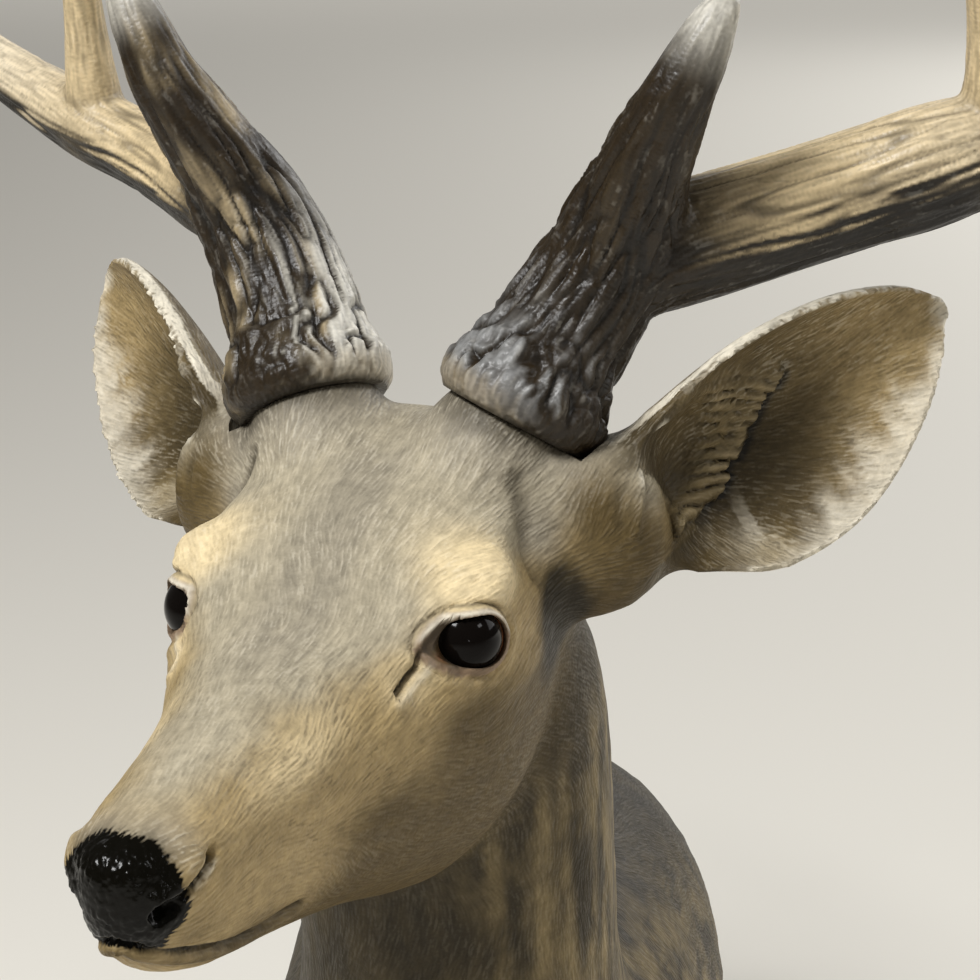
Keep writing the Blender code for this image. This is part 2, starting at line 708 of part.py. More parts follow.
def material(name, colour, roughness):
    made = bpy.data.materials.new(name)
    made.use_nodes = True
    shader = made.node_tree.nodes["Principled BSDF"]
    shader.inputs["Base Color"].default_value = (*colour, 1.0)
    shader.inputs["Roughness"].default_value = roughness
    return made


def finish(obj, look):
    obj.data.materials.clear()
    obj.data.materials.append(look)
    obj.data.shade_smooth()
    obj.data.set_sharp_from_angle(angle=SHARP_ANGLE)


def main():
    for obj in list(bpy.data.objects):
        bpy.data.objects.remove(obj)
    finish(build_bust(), material("painted coat", (0.27, 0.21, 0.14), 0.62))
    horn = material("painted horn", (0.10, 0.075, 0.05), 0.38)
    glass = material("eye glass", (0.02, 0.012, 0.008), 0.06)
    for side in SIDES:
        finish(build_antler(side), horn)
        eye = ball("eye_" + side, side, EYE_RADIUS, *EYE_FACETS)
        finish(eye, glass)


main()
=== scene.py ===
"""Stag bust, dressed: a painted resin coat with engraved hair, cast horn and bright eyes."""

import math

import bmesh
import bpy
import numpy as np
from mathutils import Matrix, Vector
from mathutils.bvhtree import BVHTree
from mathutils.kdtree import KDTree


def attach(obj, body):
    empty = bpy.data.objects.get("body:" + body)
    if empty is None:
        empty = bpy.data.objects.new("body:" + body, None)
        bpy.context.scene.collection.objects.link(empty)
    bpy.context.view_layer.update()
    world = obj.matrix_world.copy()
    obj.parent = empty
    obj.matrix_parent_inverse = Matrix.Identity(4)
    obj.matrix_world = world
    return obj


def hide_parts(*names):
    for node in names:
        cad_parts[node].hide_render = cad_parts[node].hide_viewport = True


bl_info = {
    "name": "Stag bust",
    "version": (1, 0, 0),
    "blender": (4, 5, 0),
    "location": "View3D > Sidebar > Stag",
    "description": "Builds the painted coat, the horn, the eyes and the studio of a stag bust",
    "category": "Object",
}

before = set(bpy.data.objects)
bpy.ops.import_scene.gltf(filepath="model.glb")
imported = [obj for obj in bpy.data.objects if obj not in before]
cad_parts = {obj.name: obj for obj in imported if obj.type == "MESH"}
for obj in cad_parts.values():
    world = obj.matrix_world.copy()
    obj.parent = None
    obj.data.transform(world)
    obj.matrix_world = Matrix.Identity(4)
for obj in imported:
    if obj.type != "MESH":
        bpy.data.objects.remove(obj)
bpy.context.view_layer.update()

# Head sections, in head units of one millimetre: place along the head, half width, top,
# height of the widest point, bottom, squareness of the upper and of the lower half
HEAD_SECTIONS = (
    (-177, 6, -8, -15, -24, 2, 2),
    (-174, 11.5, -1.5, -14, -32, 2.2, 2),
    (-166, 17, 1.5, -13, -43, 2.3, 2),
    (-150, 22.5, 4, -14, -54, 2.3, 2.1),
    (-128, 27, 6.5, -18, -63, 2.2, 2.1),
    (-100, 32, 9.5, -21, -71, 2.1, 2.1),
    (-75, 37.5, 13, -22, -79, 2.1, 2.1),
    (-50, 46.5, 17.5, -19, -88, 2.2, 2.1),
    (-25, 57, 25, -12, -99, 2.7, 2.1),
    (0, 64.5, 35, -6, -110, 3.1, 2.1),
    (25, 66, 44, -5, -116, 2.8, 2.1),
    (50, 65, 52, -6, -112, 2.4, 2.1),
    (75, 61, 56, -4, -92, 2.3, 2),
    (95, 51, 51, 0, -64, 2.2, 2),
    (112, 37, 39, 2, -38, 2, 2),
    (122, 14, 20, 4, -12, 2, 2),
)

# Neck: middle of each section from the middle of the eyes (right, back, up) in the
# body's own axes, half width and half depth
NECK_SECTIONS = (
    (18, 50, 0, 54, 46),
    (25, 90, -50, 66, 60),
    (27, 120, -120, 68, 70),
    (28, 146, -190, 69, 86),
    (25, 170, -265, 82, 112),
    (26, 184, -350, 96, 148),
    (28, 188, -470, 98, 172),
)

# Shoulders and back: place back from the eyes, height of the middle, half width, half height
BODY_SECTIONS = (
    (22, -395, 34, 40),
    (34, -390, 58, 74),
    (70, -378, 84, 112),
    (130, -360, 100, 136),
    (220, -344, 109, 150),
    (320, -336, 114, 154),
    (400, -338, 116, 154),
    (448, -344, 106, 140),
    (474, -352, 80, 108),
    (486, -362, 36, 54),
)
BODY_OFFSET = 7

# Burr in the head's units, with its profile in metres: height and how far it is set in
BURR_CENTRE = (44.5, 81, 62.5)
BURR_AXIS = (0.39, 0.42, 0.82)
BURR_DROP = 11
BURR_PROFILE = ((0.004, 0.001), (0.009, 0), (0.014, 0.001), (0.021, 0.004), (0.031, 0.007))
BURR_FOOT = 0.004
BEAM_START = (0.012, 0.027)
# The stump under it, height and radius, and its rise into the burr in metres
STUMP_PROFILE = ((-55, 40), (-30, 35), (-12, 29.5))
STUMP_RISE = 0.004
# Antler centre lines in the head's units, place and radius; the brow tine is stretched from one row on
STRETCH_FROM = 4
BROW_TINE = (
    (52, 92, 78, 27),
    (60, 100, 92, 25.5),
    (69, 106, 108, 24),
    (77, 106, 125, 21.5),
    (84.5, 102, 142, 18),
    (92.5, 98, 158, 15.4),
    (100, 96, 172, 13.6),
    (108.5, 98, 189, 11),
    (114, 100.5, 200, 8.4),
    (118.5, 103.5, 209, 4.6),
)
MAIN_BEAM = (
    (70, 106, 105, 21.5),
    (86, 119, 110.5, 23),
    (104, 131, 114.5, 23),
    (127, 147, 120, 22.5),
    (150, 160, 126, 22.5),
    (176, 168, 134, 23),
    (205, 180, 143, 20),
    (238, 190, 157, 17),
    (266, 194, 180, 15),
    (284, 190, 214, 13.2),
    (293, 180, 252, 11),
    (296, 168, 288, 8),
    (296, 160, 308, 4.2),
)
SECOND_TINE = (
    (178, 170, 136, 19),
    (178, 168, 156, 16.5),
    (176, 164, 180, 13),
    (173, 158, 205, 10.8),
    (170, 150, 230, 8.2),
    (168, 144, 248, 4.2),
)
BEAM_SHIFT = {"left": (0, 0, 0), "right": (0, 0, 4)}
SECOND_TINE_SHIFT = {"left": (26, 10, 8), "right": (-3, -1, 2)}
# Ridges of the brow tine, the beam and the second tine: width, length and depth in millimetres
HORN_RIDGES = ((5, 60, 2.2), (5.5, 80, 0.9), (6, 90, 0.35))
# Shares of their lengths over which the tips turn pale
HORN_TIPS = ((0.80, 0.97), (0.90, 1), (0.75, 1))
# How far the horn is worn to tan, how strong the grey painted highlight is on the ridges, and how strong the
# painted sheen is on the burr
TAN_AND_SHEEN = {"left": (0.03, 0, 1), "right": (0.5, 0.9, 0.8)}
BEAM_THICKNESS = {"left": 1, "right": 0.68}
TINE_LENGTH = {"left": 1, "right": 1.12}

# Ear rims in the head's units, from the root to the tip: upper rim, lower rim
EAR_UPPER_RIM = (
    (62, 66, 42),
    (92, 74, 52),
    (102, 86, 63),
    (114, 102, 75),
    (133, 124, 86),
    (154, 147, 91),
    (173, 169, 88),
    (184, 183, 80),
)
EAR_LOWER_RIM = (
    (62, 62, -14),
    (97, 72, -5),
    (118, 88, -6),
    (139, 107, -9),
    (162, 128, 3),
    (178, 147, 27),
    (186, 166, 53),
    (186, 182, 75),
)
# Share of the ear's length, depth of the cup and thickness of its wall
EAR_CUP = (
    (0, 2, 44),
    (0.12, 8, 34),
    (0.25, 24, 12),
    (0.40, 30, 5.8),
    (0.60, 25, 5),
    (0.80, 15, 5),
    (0.93, 7, 5),
    (1, 1.5, 4.6),
)
# Root: centre and radii; each ear's own shift at its tip; length; how far the cup is set in
EAR_ROOT = ((72, 74, 14), (31, 25, 36))
EAR_SET = {"left": (0, 0, 0), "right": (4, 0, -8)}
EAR_LENGTH = 155
EAR_EDGE = 2.4

# Eye in the head's units: its middle and axes, how far the lids open outwards, up and down, the
# cutter's steps (depth and reach inwards), the corners' shape, the skin over the ball in metres
EYE_CENTRE = (50.5, -7.5, 4.2)
EYE_OUT = Vector((0.85, -0.50, 0.12)).normalized()
EYE_UP = EYE_OUT.cross(Vector((0.44, 0.87, -0.20))).normalized()
EYE_ALONG = EYE_UP.cross(EYE_OUT)
EYE_OPENING = (10.9, 9.8, 9.2)
OPENING_STEPS = ((3.5, 14), (9, 21), (30, 21))
CORNER_POINT = 0.35
INNER_CORNER = 25
LID_EDGE = 0.0011
GAZE = Vector((0.60, -0.78, 0.20)).normalized()

SIDES = {"left": 1.0, "right": -1.0}

# Ways the hair lies in the world, on the neck and on the back
HAIR_DOWN = (0.05, 0.30, -1.0)
HAIR_REAR = (0.0, 0.9, -0.5)

# Making of the skins: the mesh size that the rounds of smoothing are meant for, the rounds on all
# of the skin, on its blends and on the horn, and the triangles kept on the plainer parts
ROUNDS_GRAIN = 0.0024
SKIN_ROUNDS = 16
BLEND_ROUNDS = 120
HORN_ROUNDS = 16
PLAIN_TRIANGLES = 26000.0

# Room round a burr's seat, height over which the coat's relief fades in above the underside,
# the eye's dome, the angle of a sharp edge, two tones of the materials and the ears' grid
SEAT_PLAY = 1.03
FOOT_FADE = 0.004
DOME_ANGLE = 44.0
DOME_RISE = 0.0002
SHARP_ANGLE = 62.0
FLECK_STRENGTH = 0.38
IRIS_RING = (0.20, 0.17, 0.13)
EAR_GRID = (80, 32)

# Studio: radius and depth of the floor, the camera's axes, and its place from the eyes along them
FLOOR_RADIUS = 70.0
FLOOR_DEPTH = 0.0005
CAMERA_BACK = (0.0896, -0.9662, 0.2419)
CAMERA_RIGHT = (0.9957, 0.0924, 0.0)
CAMERA_PLACE = (0.0538, 0.0479, 0.860)
SKY_TINT = (1.0, 0.96, 0.88, 1.0)
FILL_SHARE = 0.09
SPARK_POWER = 0.45

# Forms of the left half of the face that are raised or sunk: centre, radii and move
FACE = (
    ((63, -3, 27), (19, 27, 17), (9, -2, 4)),
    ((62, 14, -15), (14, 34, 11), (2, 0, 0)),
    ((48, -40, 0), (12, 16, 14), (-3, 1, 0.5)),
    ((64, 33, 22), (16, 20, 16), (-4, 0, -1)),
    ((36, -92, -34), (14, 36, 18), (-2, 0, 0)),
    ((46, 20, -58), (22, 34, 26), (3.5, 0, -1)),
    ((20, -160, -8), (11, 14, 12), (2.5, -0.5, 0.5)),
)

# Where the leaf of an ear starts beside the head, and the height that it stays above
EAR_FROM = 108
EAR_BELOW = -60


def length_property(name, description, value, low, high):
    return bpy.props.FloatProperty(name=name, description=description, default=value, min=low,
                                   max=high, subtype="DISTANCE", unit="LENGTH")


def angle_property(name, description, degrees):
    return bpy.props.FloatProperty(name=name, description=description,
                                   default=math.radians(degrees), subtype="ANGLE", unit="ROTATION")


def power_property(name, description, watts, most):
    return bpy.props.FloatProperty(name=name, description=description, default=watts, min=0.0,
                                   max=most, unit="POWER")


def colour_property(name, description, value):
    return bpy.props.FloatVectorProperty(name=name, description=description, default=value, size=3,
                                         min=0.0, max=1.0, subtype="COLOR")


class StagForm(bpy.types.PropertyGroup):
    """Sizes of the bust that a user may change."""

    head_length: length_property("Head length", "Nose pad to the back of the skull", 0.300, 0.1, 1.0)
    eye_height: length_property(
        "Eye height", "Middle of the eyes above the flat underside", 0.440, 0.1, 2.0)
    eye_backset: length_property(
        "Eye backset", "Middle of the eyes in front of the origin", 0.255, 0.0, 2.0)
    eye_offset: length_property(
        "Eye offset", "Middle of the eyes to the stag's right of the origin", 0.022, -1.0, 1.0)
    head_turn: angle_property("Head turn", "How far the head looks to the stag's right", 15.0)
    head_nod: angle_property("Head nod", "How far the nose is lowered", 7.3)
    eye_radius: length_property("Eye radius", "Radius of an eye ball", 0.014, 0.002, 0.1)
    lid_thickness: length_property("Lid thickness", "Skin over the eye ball", 0.0022, 0.0005, 0.01)
    coronet_radius: length_property(
        "Coronet radius", "Burr at the foot of an antler", 0.0335, 0.01, 0.1)
    seat_radius: length_property("Seat radius", "Flat face under the burr", 0.025, 0.01, 0.1)
    joint_gap: length_property("Joint gap", "Between pieces that meet", 0.0003, 0.0, 0.01)
    skin_grain: length_property("Skin grain", "Mesh size of the coat on the face", 0.0018, 0.001, 0.01)
    horn_grain: length_property("Horn grain", "Mesh size of the antlers", 0.0011, 0.0008, 0.01)
    hair_depth: length_property("Hair depth", "Depth of the engraved hair", 0.0006, 0.0, 0.01)


class StagPaint(bpy.types.PropertyGroup):
    """Paint colours of the bust; some of them also lay painted shade, highlights and sheen."""

    tan: colour_property("Tan", "Cheeks and sides of the muzzle", (0.36, 0.265, 0.125))
    # Cream also lays the brightest painted highlight on the crests of the ears' tufts.
    cream: colour_property("Cream", "Brows and round the eyes", (0.74, 0.60, 0.36))
    grey: colour_property("Grey", "Forehead and bridge of the nose", (0.40, 0.35, 0.25))
    ash: colour_property("Ash", "Darker streak down the forehead", (0.27, 0.24, 0.185))
    brown: colour_property("Brown", "Jaw and neck", (0.105, 0.072, 0.026))
    # Dark also lays painted shade round the antlers' feet, in creases, grooves and the lids' crease, in the
    # ears' cups and on the neck's shaded side.
    dark: colour_property("Dark", "Nape, temples and under the antlers", (0.026, 0.019, 0.008))
    # Straw also lays painted highlights on the tufts' crests, and stronger neck streaks on the stag's left
    # as a painted rim light.
    straw: colour_property("Straw", "Lighter streaks of the neck", (0.24, 0.18, 0.085))
    rim: colour_property("Rim", "Edges and lower half of the ears", (0.74, 0.68, 0.55))
    # Nose black also lays painted shade in the nostrils and in the gaps between and past the ears' tufts.
    nose: colour_property("Nose", "Wet black of the nose pad", (0.0028, 0.0024, 0.0014))
    lid: colour_property("Lid", "Bare skin of the lids", (0.22, 0.15, 0.10))
    # Dark horn is painted shade in the crevices and folds, under the beams and at the antlers' foot.
    horn_dark: colour_property("Dark horn", "Crevices and foot of the antlers", (0.008, 0.006, 0.004))
    horn: colour_property("Horn", "Body of the tines", (0.022, 0.014, 0.006))
    # Tan horn: the colour of the second tine, and on the beams' upward faces partly a painted highlight.
    horn_tan: colour_property("Tan horn", "Tops of the beams", (0.62, 0.49, 0.29))
    # Grey horn: pale tips, and painted highlights and sheen on the beams, the ridges and the right burr, and
    # painted glints.
    horn_grey: colour_property("Grey horn", "Worn beads and tips", (0.66, 0.63, 0.55))
    slate: colour_property("Slate", "Blue-grey sheen on the left burr", (0.23, 0.23, 0.225))
    iris: colour_property("Iris", "Dark of the eye", (0.004, 0.003, 0.0025))
    amber: colour_property("Amber", "Ring and corner of the eye", (0.14, 0.045, 0.014))
    floor: colour_property("Floor", "Studio floor", (0.80, 0.77, 0.70))


class StagStudio(bpy.types.PropertyGroup):
    """Studio round the bust."""

    focal: bpy.props.FloatProperty(
        name="Focal length", description="Lens of the camera, in millimetres",
        default=88.16, min=10.0, max=400.0)
    key: power_property("Key light", "Power of the main soft light", 56.0, 1000.0)
    wall: power_property(
        "Back light", "Power of the wide light over the floor behind", 760.0, 4000.0)
    sky: bpy.props.FloatProperty(
        name="Room light", description="Strength of the even light of the room",
        default=0.12, min=0.0, max=10.0)
    far: power_property("Far light", "Power of the light over the farthest floor", 3000.0, 9000.0)


def head_unit():
    return bpy.context.scene.stag_form.head_length / 300.0


def head_matrix():
    """Head axes to world: nodded, turned, and lifted to the height of the eyes."""
    form = bpy.context.scene.stag_form
    place = Matrix.Translation((-form.eye_offset, -form.eye_backset, form.eye_height))
    turn = Matrix.Rotation(-form.head_turn, 4, "Z")
    nod = Matrix.Rotation(form.head_nod, 4, "X")
    return place @ turn @ nod @ Matrix.Scale(head_unit(), 4)


def to_world(point, side="left"):
    return head_matrix() @ Vector((point[0] * SIDES[side], point[1], point[2]))


def body_point(right, back, up):
    form = bpy.context.scene.stag_form
    unit = head_unit()
    return Vector((right * unit - form.eye_offset, back * unit - form.eye_backset,
                   up * unit + form.eye_height))


def spline(rows, count):
    """Rows of numbers at even steps along a smooth curve through the given rows."""
    rows = np.array(rows, float)
    step = np.linalg.norm(np.diff(rows[:, :min(3, rows.shape[1])], axis=0), axis=1)
    knots = np.concatenate([[0.0], np.cumsum(step)])
    slopes = np.gradient(rows, knots, axis=0)
    places = np.linspace(0.0, knots[-1], count)
    i = np.clip(np.searchsorted(knots, places) - 1, 0, len(rows) - 2)
    span = (knots[i + 1] - knots[i])[:, None]
    t = (places[:, None] - knots[i][:, None]) / span
    near = (1 + 2 * t) * (1 - t) ** 2 * rows[i] + t * (1 - t) ** 2 * span * slopes[i]
    far = t ** 2 * (3 - 2 * t) * rows[i + 1] + t ** 2 * (t - 1) * span * slopes[i + 1]
    return near + far


def mesh_object(name, bm):
    bmesh.ops.recalc_face_normals(bm, faces=bm.faces)
    mesh = bpy.data.meshes.new(name)
    bm.to_mesh(mesh)
    bm.free()
    obj = bpy.data.objects.new(name, mesh)
    bpy.context.scene.collection.objects.link(obj)
    return obj


def loft(name, rings):
    """Closed skin over a row of rings that hold the same number of points."""
    bm = bmesh.new()
    loops = [[bm.verts.new(point) for point in ring] for ring in rings]
    for low, high in zip(loops, loops[1:]):
        for k in range(len(low)):
            n = (k + 1) % len(low)
            bm.faces.new((low[k], low[n], high[n], high[k]))
    for loop in (loops[0], loops[-1]):
        middle = sum((v.co for v in loop), Vector()) / len(loop)
        tip = bm.verts.new(middle)
        for k in range(len(loop)):
            bm.faces.new((loop[k], loop[(k + 1) % len(loop)], tip))
    return mesh_object(name, bm)


def oval(angle, power):
    """Point of a squared circle: power 2 is round, more is squarer."""
    c, s = math.cos(angle), math.sin(angle)
    return (math.copysign(abs(c) ** (2.0 / power), c), math.copysign(abs(s) ** (2.0 / power), s))


def curve_frames(rows):
    """Points, directions and two cross axes along a curve, carried without twist."""
    points = [Vector(row[:3]) for row in rows]
    axis = Vector((0.0, -1.0, 0.0))
    frames = []
    for i in range(len(rows)):
        ahead = points[min(i + 1, len(points) - 1)] - points[max(i - 1, 0)]
        ahead.normalize()
        axis = (axis - ahead * axis.dot(ahead)).normalized()
        frames.append((points[i], ahead, axis, ahead.cross(axis)))
    return frames


def tube_rings(rows, sides):
    """Rings square to a curve; each row holds a point and a radius, in world sizes."""
    rings = []
    for (point, _, across, other), row in zip(curve_frames(rows), rows):
        rings.append([point + across * row[3] * math.cos(math.tau * k / sides)
                      + other * row[3] * math.sin(math.tau * k / sides) for k in range(sides)])
    return rings


def head_solid():
    """Skull and muzzle, squarer above than below."""
    rings = []
    for y, half, top, middle, bottom, upper, lower in spline(HEAD_SECTIONS, 72):
        ring = []
        for k in range(64):
            angle = math.tau * k / 64
            x, z = oval(angle, upper if angle < math.pi else lower)
            reach = (top - middle) if z > 0 else (middle - bottom)
            ring.append(to_world((x * half, y, middle + z * reach)))
        rings.append(ring)
    return loft("skull", rings)


def neck_solid():
    """Neck, with its rings square to its bent middle line."""
    rows = spline(NECK_SECTIONS, 36)
    rings = []
    for i, (right, back, up, half, depth) in enumerate(rows):
        ahead = rows[min(i + 1, len(rows) - 1)][:3] - rows[max(i - 1, 0)][:3]
        ahead = Vector(ahead).normalized()
        across = Vector((1.0, 0.0, 0.0))
        across = (across - ahead * across.dot(ahead)).normalized()
        front = across.cross(ahead)
        ring = []
        for k in range(60):
            x, y = oval(math.tau * k / 60, 2.1)
            offset = across * x * half + front * y * depth
            ring.append(body_point(right + offset.x, back + offset.y, up + offset.z))
        rings.append(ring)
    return loft("neck", rings)


def body_solid():
    """Shoulders and the start of the back."""
    offset = bpy.context.scene.stag_form.eye_offset / head_unit()
    rings = []
    for back, middle, half, height in spline(BODY_SECTIONS, 40):
        ring = []
        for k in range(64):
            x, z = oval(math.tau * k / 64, 2.15)
            ring.append(body_point(offset + BODY_OFFSET + x * half, back, middle + z * height))
        rings.append(ring)
    return loft("shoulders", rings)


def ear_grid(side, count, across):
    """Inner and outer skin of an ear as grids of points in the head's units."""
    upper = spline(EAR_UPPER_RIM, count)
    lower = spline(EAR_LOWER_RIM, count)
    shares = np.linspace(0.0, 1.0, count)
    cup = [np.interp(shares, [row[0] for row in EAR_CUP], [row[k] for row in EAR_CUP])
           for k in (1, 2)]
    inner = np.zeros((count, across + 1, 3))
    outer = np.zeros((count, across + 1, 3))
    for i in range(count):
        high, low = Vector(upper[i]), Vector(lower[i])
        middle = (high + low) / 2
        j = min(i + 1, count - 1)
        k = max(i - 1, 0)
        ahead = Vector(upper[j] + lower[j] - upper[k] - lower[k]).normalized()
        wide = (high - low).normalized()
        back = wide.cross(ahead).normalized()
        if back.y < 0:
            back = -back
        half = (high - low).length / 2
        moved = Vector(EAR_SET[side]) * shares[i]
        for n in range(across + 1):
            angle = math.pi * n / across
            point = middle + wide * math.cos(angle) * half + moved
            depth = math.sin(angle) ** 1.25 * cup[0][i]
            inner[i, n] = point + back * depth - wide * math.cos(angle) * min(EAR_EDGE, half * 0.4)
            outer[i, n] = point + back * (depth + cup[1][i])
    return inner, outer


def ear_solid(side):
    """Cupped leaf: an outer skin and an inner skin between the two rims."""
    inner, outer = ear_grid(side, 70, 44)
    rings = []
    for inside, outside in zip(inner, outer):
        rings.append([to_world(p, side) for p in outside] + [to_world(p, side) for p in inside[::-1]])
    return loft("ear", rings)


def skin_tree(obj):
    """Search tree over an object's faces."""
    return BVHTree.FromPolygons([v.co for v in obj.data.vertices],
                                [tuple(p.vertices) for p in obj.data.polygons])


def settle_ears(points, local, trees):
    """Lay the leaves of the ears back on their own smooth skin, which the fusing roughened."""
    for side, tree in trees.items():
        share = ease(local[:, 0] * SIDES[side], EAR_FROM - 6.0, EAR_FROM + 8.0)
        share *= local[:, 2] > EAR_BELOW
        for index in np.flatnonzero(share > 0.0):
            near = tree.find_nearest(points[index])[0]
            points[index] += (np.array(near) - points[index]) * share[index]
    return points


def burr_frame(side):
    """Matrix with its origin on the seat of an antler and +Z along the burr's axis."""
    axis = Vector(BURR_AXIS).normalized()
    seat = Vector(BURR_CENTRE) - axis * BURR_DROP
    start = to_world(seat, side)
    direction = (to_world(seat + axis, side) - start).normalized()
    return Matrix.Translation(start) @ direction.to_track_quat("Z", "Y").to_matrix().to_4x4()


def disc_stack(name, axes, profile, sides):
    """Turned solid round a frame's +Z: profile rows are height and radius."""
    rings = []
    for height, radius in profile:
        rings.append([axes @ Vector((radius * math.cos(math.tau * k / sides),
                                     radius * math.sin(math.tau * k / sides), height))
                      for k in range(sides)])
    return loft(name, rings)


def stump_solid(side):
    unit = head_unit()
    profile = [(height * unit, radius * unit) for height, radius in STUMP_PROFILE]
    profile.append((STUMP_RISE, bpy.context.scene.stag_form.seat_radius))
    return disc_stack("stump", burr_frame(side), profile, 48)


def lump(name, centre, radii, side):
    """Egg shape in the head's units."""
    bm = bmesh.new()
    bmesh.ops.create_icosphere(bm, subdivisions=4, radius=1.0)
    for v in bm.verts:
        v.co = to_world([c + r * x for c, r, x in zip(centre, radii, v.co)], side)
    return mesh_object(name, bm)


def bake(obj):
    """Replace an object's mesh by its evaluated one."""
    graph = bpy.context.evaluated_depsgraph_get()
    mesh = bpy.data.meshes.new_from_object(obj.evaluated_get(graph), depsgraph=graph)
    obj.modifiers.clear()
    obj.data = mesh
    return obj


def fuse(name, parts, grain):
    """One closed skin round several overlapping solids."""
    with bpy.context.temp_override(active_object=parts[0], selected_objects=parts,
                                   selected_editable_objects=parts):
        bpy.ops.object.join()
    body = parts[0]
    body.name = name
    remesh = body.modifiers.new("Fuse", "REMESH")
    remesh.mode = "VOXEL"
    remesh.voxel_size = grain
    bake(body)
    drop_crumbs(body)
    return body


def drop_crumbs(obj):
    """Keep the largest closed body alone."""
    bm = bmesh.new()
    bm.from_mesh(obj.data)
    left = set(bm.verts)
    bodies = []
    while left:
        body = [left.pop()]
        for vert in body:
            for edge in vert.link_edges:
                other = edge.other_vert(vert)
                if other in left:
                    left.remove(other)
                    body.append(other)
        bodies.append(body)
    bodies.sort(key=len)
    if len(bodies) > 1:
        crumbs = [vert for body in bodies[:-1] for vert in body]
        bmesh.ops.delete(bm, geom=crumbs, context="VERTS")
        bm.to_mesh(obj.data)
    bm.free()


def read_points(mesh, field):
    flat = np.empty(len(mesh.vertices) * 3)
    mesh.vertices.foreach_get(field, flat)
    return flat.reshape(-1, 3)


def points_of(mesh):
    return read_points(mesh, "co")


def normals_of(mesh):
    return read_points(mesh, "normal")


def set_points(mesh, points):
    mesh.vertices.foreach_set("co", points.ravel())
    mesh.update()


def transform(points, matrix):
    m = np.array(matrix)
    return points @ m[:3, :3].T + m[:3, 3]


def unit_rows(vectors, least=1e-6):
    """The same directions, each one long."""
    return vectors / np.maximum(np.linalg.norm(vectors, axis=-1, keepdims=True), least)


def smooth(mesh, points, weight, rounds):
    """Even out a skin where the weight is above nought."""
    edges = np.empty(len(mesh.edges) * 2, dtype=np.int64)
    mesh.edges.foreach_get("vertices", edges)
    edges = edges.reshape(-1, 2)
    used = (weight[edges[:, 0]] > 0) | (weight[edges[:, 1]] > 0)
    edges = edges[used]
    degree = np.maximum(np.bincount(edges.ravel(), minlength=len(points)), 1).astype(float)
    weight = np.where(np.bincount(edges.ravel(), minlength=len(points)) > 0, weight, 0.0)
    for _ in range(rounds):
        total = np.zeros_like(points)
        for axis in range(3):
            total[:, axis] = (np.bincount(edges[:, 0], points[edges[:, 1], axis], len(points))
                              + np.bincount(edges[:, 1], points[edges[:, 0], axis], len(points)))
        points = points + (total / degree[:, None] - points) * 0.5 * weight[:, None]
    return points


def falloff(distance, radius=1.0):
    return np.clip(1.0 - (distance / radius) ** 2, 0.0, 1.0) ** 2


def ease(values, start, end):
    """Smooth step from nought at the start to one at the end."""
    t = np.clip((values - start) / (end - start), 0.0, 1.0)
    return t * t * (3.0 - 2.0 * t)


def near_line(points, line, radius):
    """Soft share round a bent line."""
    return falloff(line_distance(points, line)[0], radius)


def sunk_distance(points, line, depth):
    """Distance to a line and to its copies sunk into the head, as a groove's floor is."""
    best, share = line_distance(points, line)
    for part in (0.5, 1.0):
        low = []
        for x, y, z in line:
            inward = Vector((-x, 0.0, -20.0 - z)).normalized() * depth * part
            low.append((x + inward.x, y + inward.y, z + inward.z))
        distance, along = line_distance(points, low)
        share = np.where(distance < best, along, share)
        best = np.minimum(best, distance)
    return best, share


class Coats:
    """Colour at each point, built up in coats that let the one below show through."""

    def __init__(self, base, count):
        self.colour = np.tile(np.array(base), (count, 1))

    def lay(self, value, share):
        share = np.clip(share, 0.0, 1.0)[:, None]
        self.colour = self.colour * (1.0 - share) + np.array(value) * share


def blob(points, centre, radii):
    """Soft egg-shaped share round a centre."""
    return falloff(np.linalg.norm((points - np.array(centre)) / np.array(radii), axis=1))


def line_distance(points, line):
    """Distance to a bent line, and the share along it."""
    best = np.full(len(points), 1e9)
    share = np.zeros(len(points))
    for i, (start, end) in enumerate(zip(line, line[1:])):
        start, end = np.array(start, float), np.array(end, float)
        run = end - start
        t = np.clip((points - start) @ run / (run @ run), 0.0, 1.0)
        distance = np.linalg.norm(points - start - t[:, None] * run, axis=1)
        share = np.where(distance < best, (i + t) / (len(line) - 1), share)
        best = np.minimum(best, distance)
    return best, share


def hashed(cells, seed):
    """Number from 0 to 1 for each whole-numbered cell."""
    n = cells[:, 0] * 73856093 ^ cells[:, 1] * 19349663 ^ (cells[:, 2] + seed * 7919) * 83492791
    n = (n ^ (n >> 13)) * 1274126177 & 0x7FFFFFFF
    n = (n ^ (n >> 15)) * 2246822519 & 0x7FFFFFFF
    return (n ^ (n >> 11)) % 100003 / 100003.0


def soft_noise(points, size, seed=0):
    """Smooth noise from -1 to 1 whose lumps have the given size."""
    p = points / size
    cell = np.floor(p).astype(np.int64)
    t = p - cell
    t = t * t * (3.0 - 2.0 * t)
    total = np.zeros(len(p))
    for corner in range(8):
        step = np.array([(corner >> k) & 1 for k in range(3)])
        weight = np.prod(np.where(step == 1, t, 1.0 - t), axis=1)
        total += weight * (hashed(cell + step, seed) * 2.0 - 1.0)
    return total


def cell_noise(points, size, seed=0):
    """Distances to the nearest and the next of a scatter of cell middles, in spacings."""
    p = points / size
    cell = np.floor(p).astype(np.int64)
    first = np.full(len(p), 9.0)
    second = np.full(len(p), 9.0)
    for index in range(27):
        step = np.array([index % 3, index // 3 % 3, index // 9]) - 1
        near = cell + step
        middle = np.stack([near[:, k] + hashed(near, seed + k) for k in range(3)], axis=1)
        distance = np.linalg.norm(p - middle, axis=1)
        second = np.minimum(second, np.maximum(first, distance))
        first = np.minimum(first, distance)
    return first, second


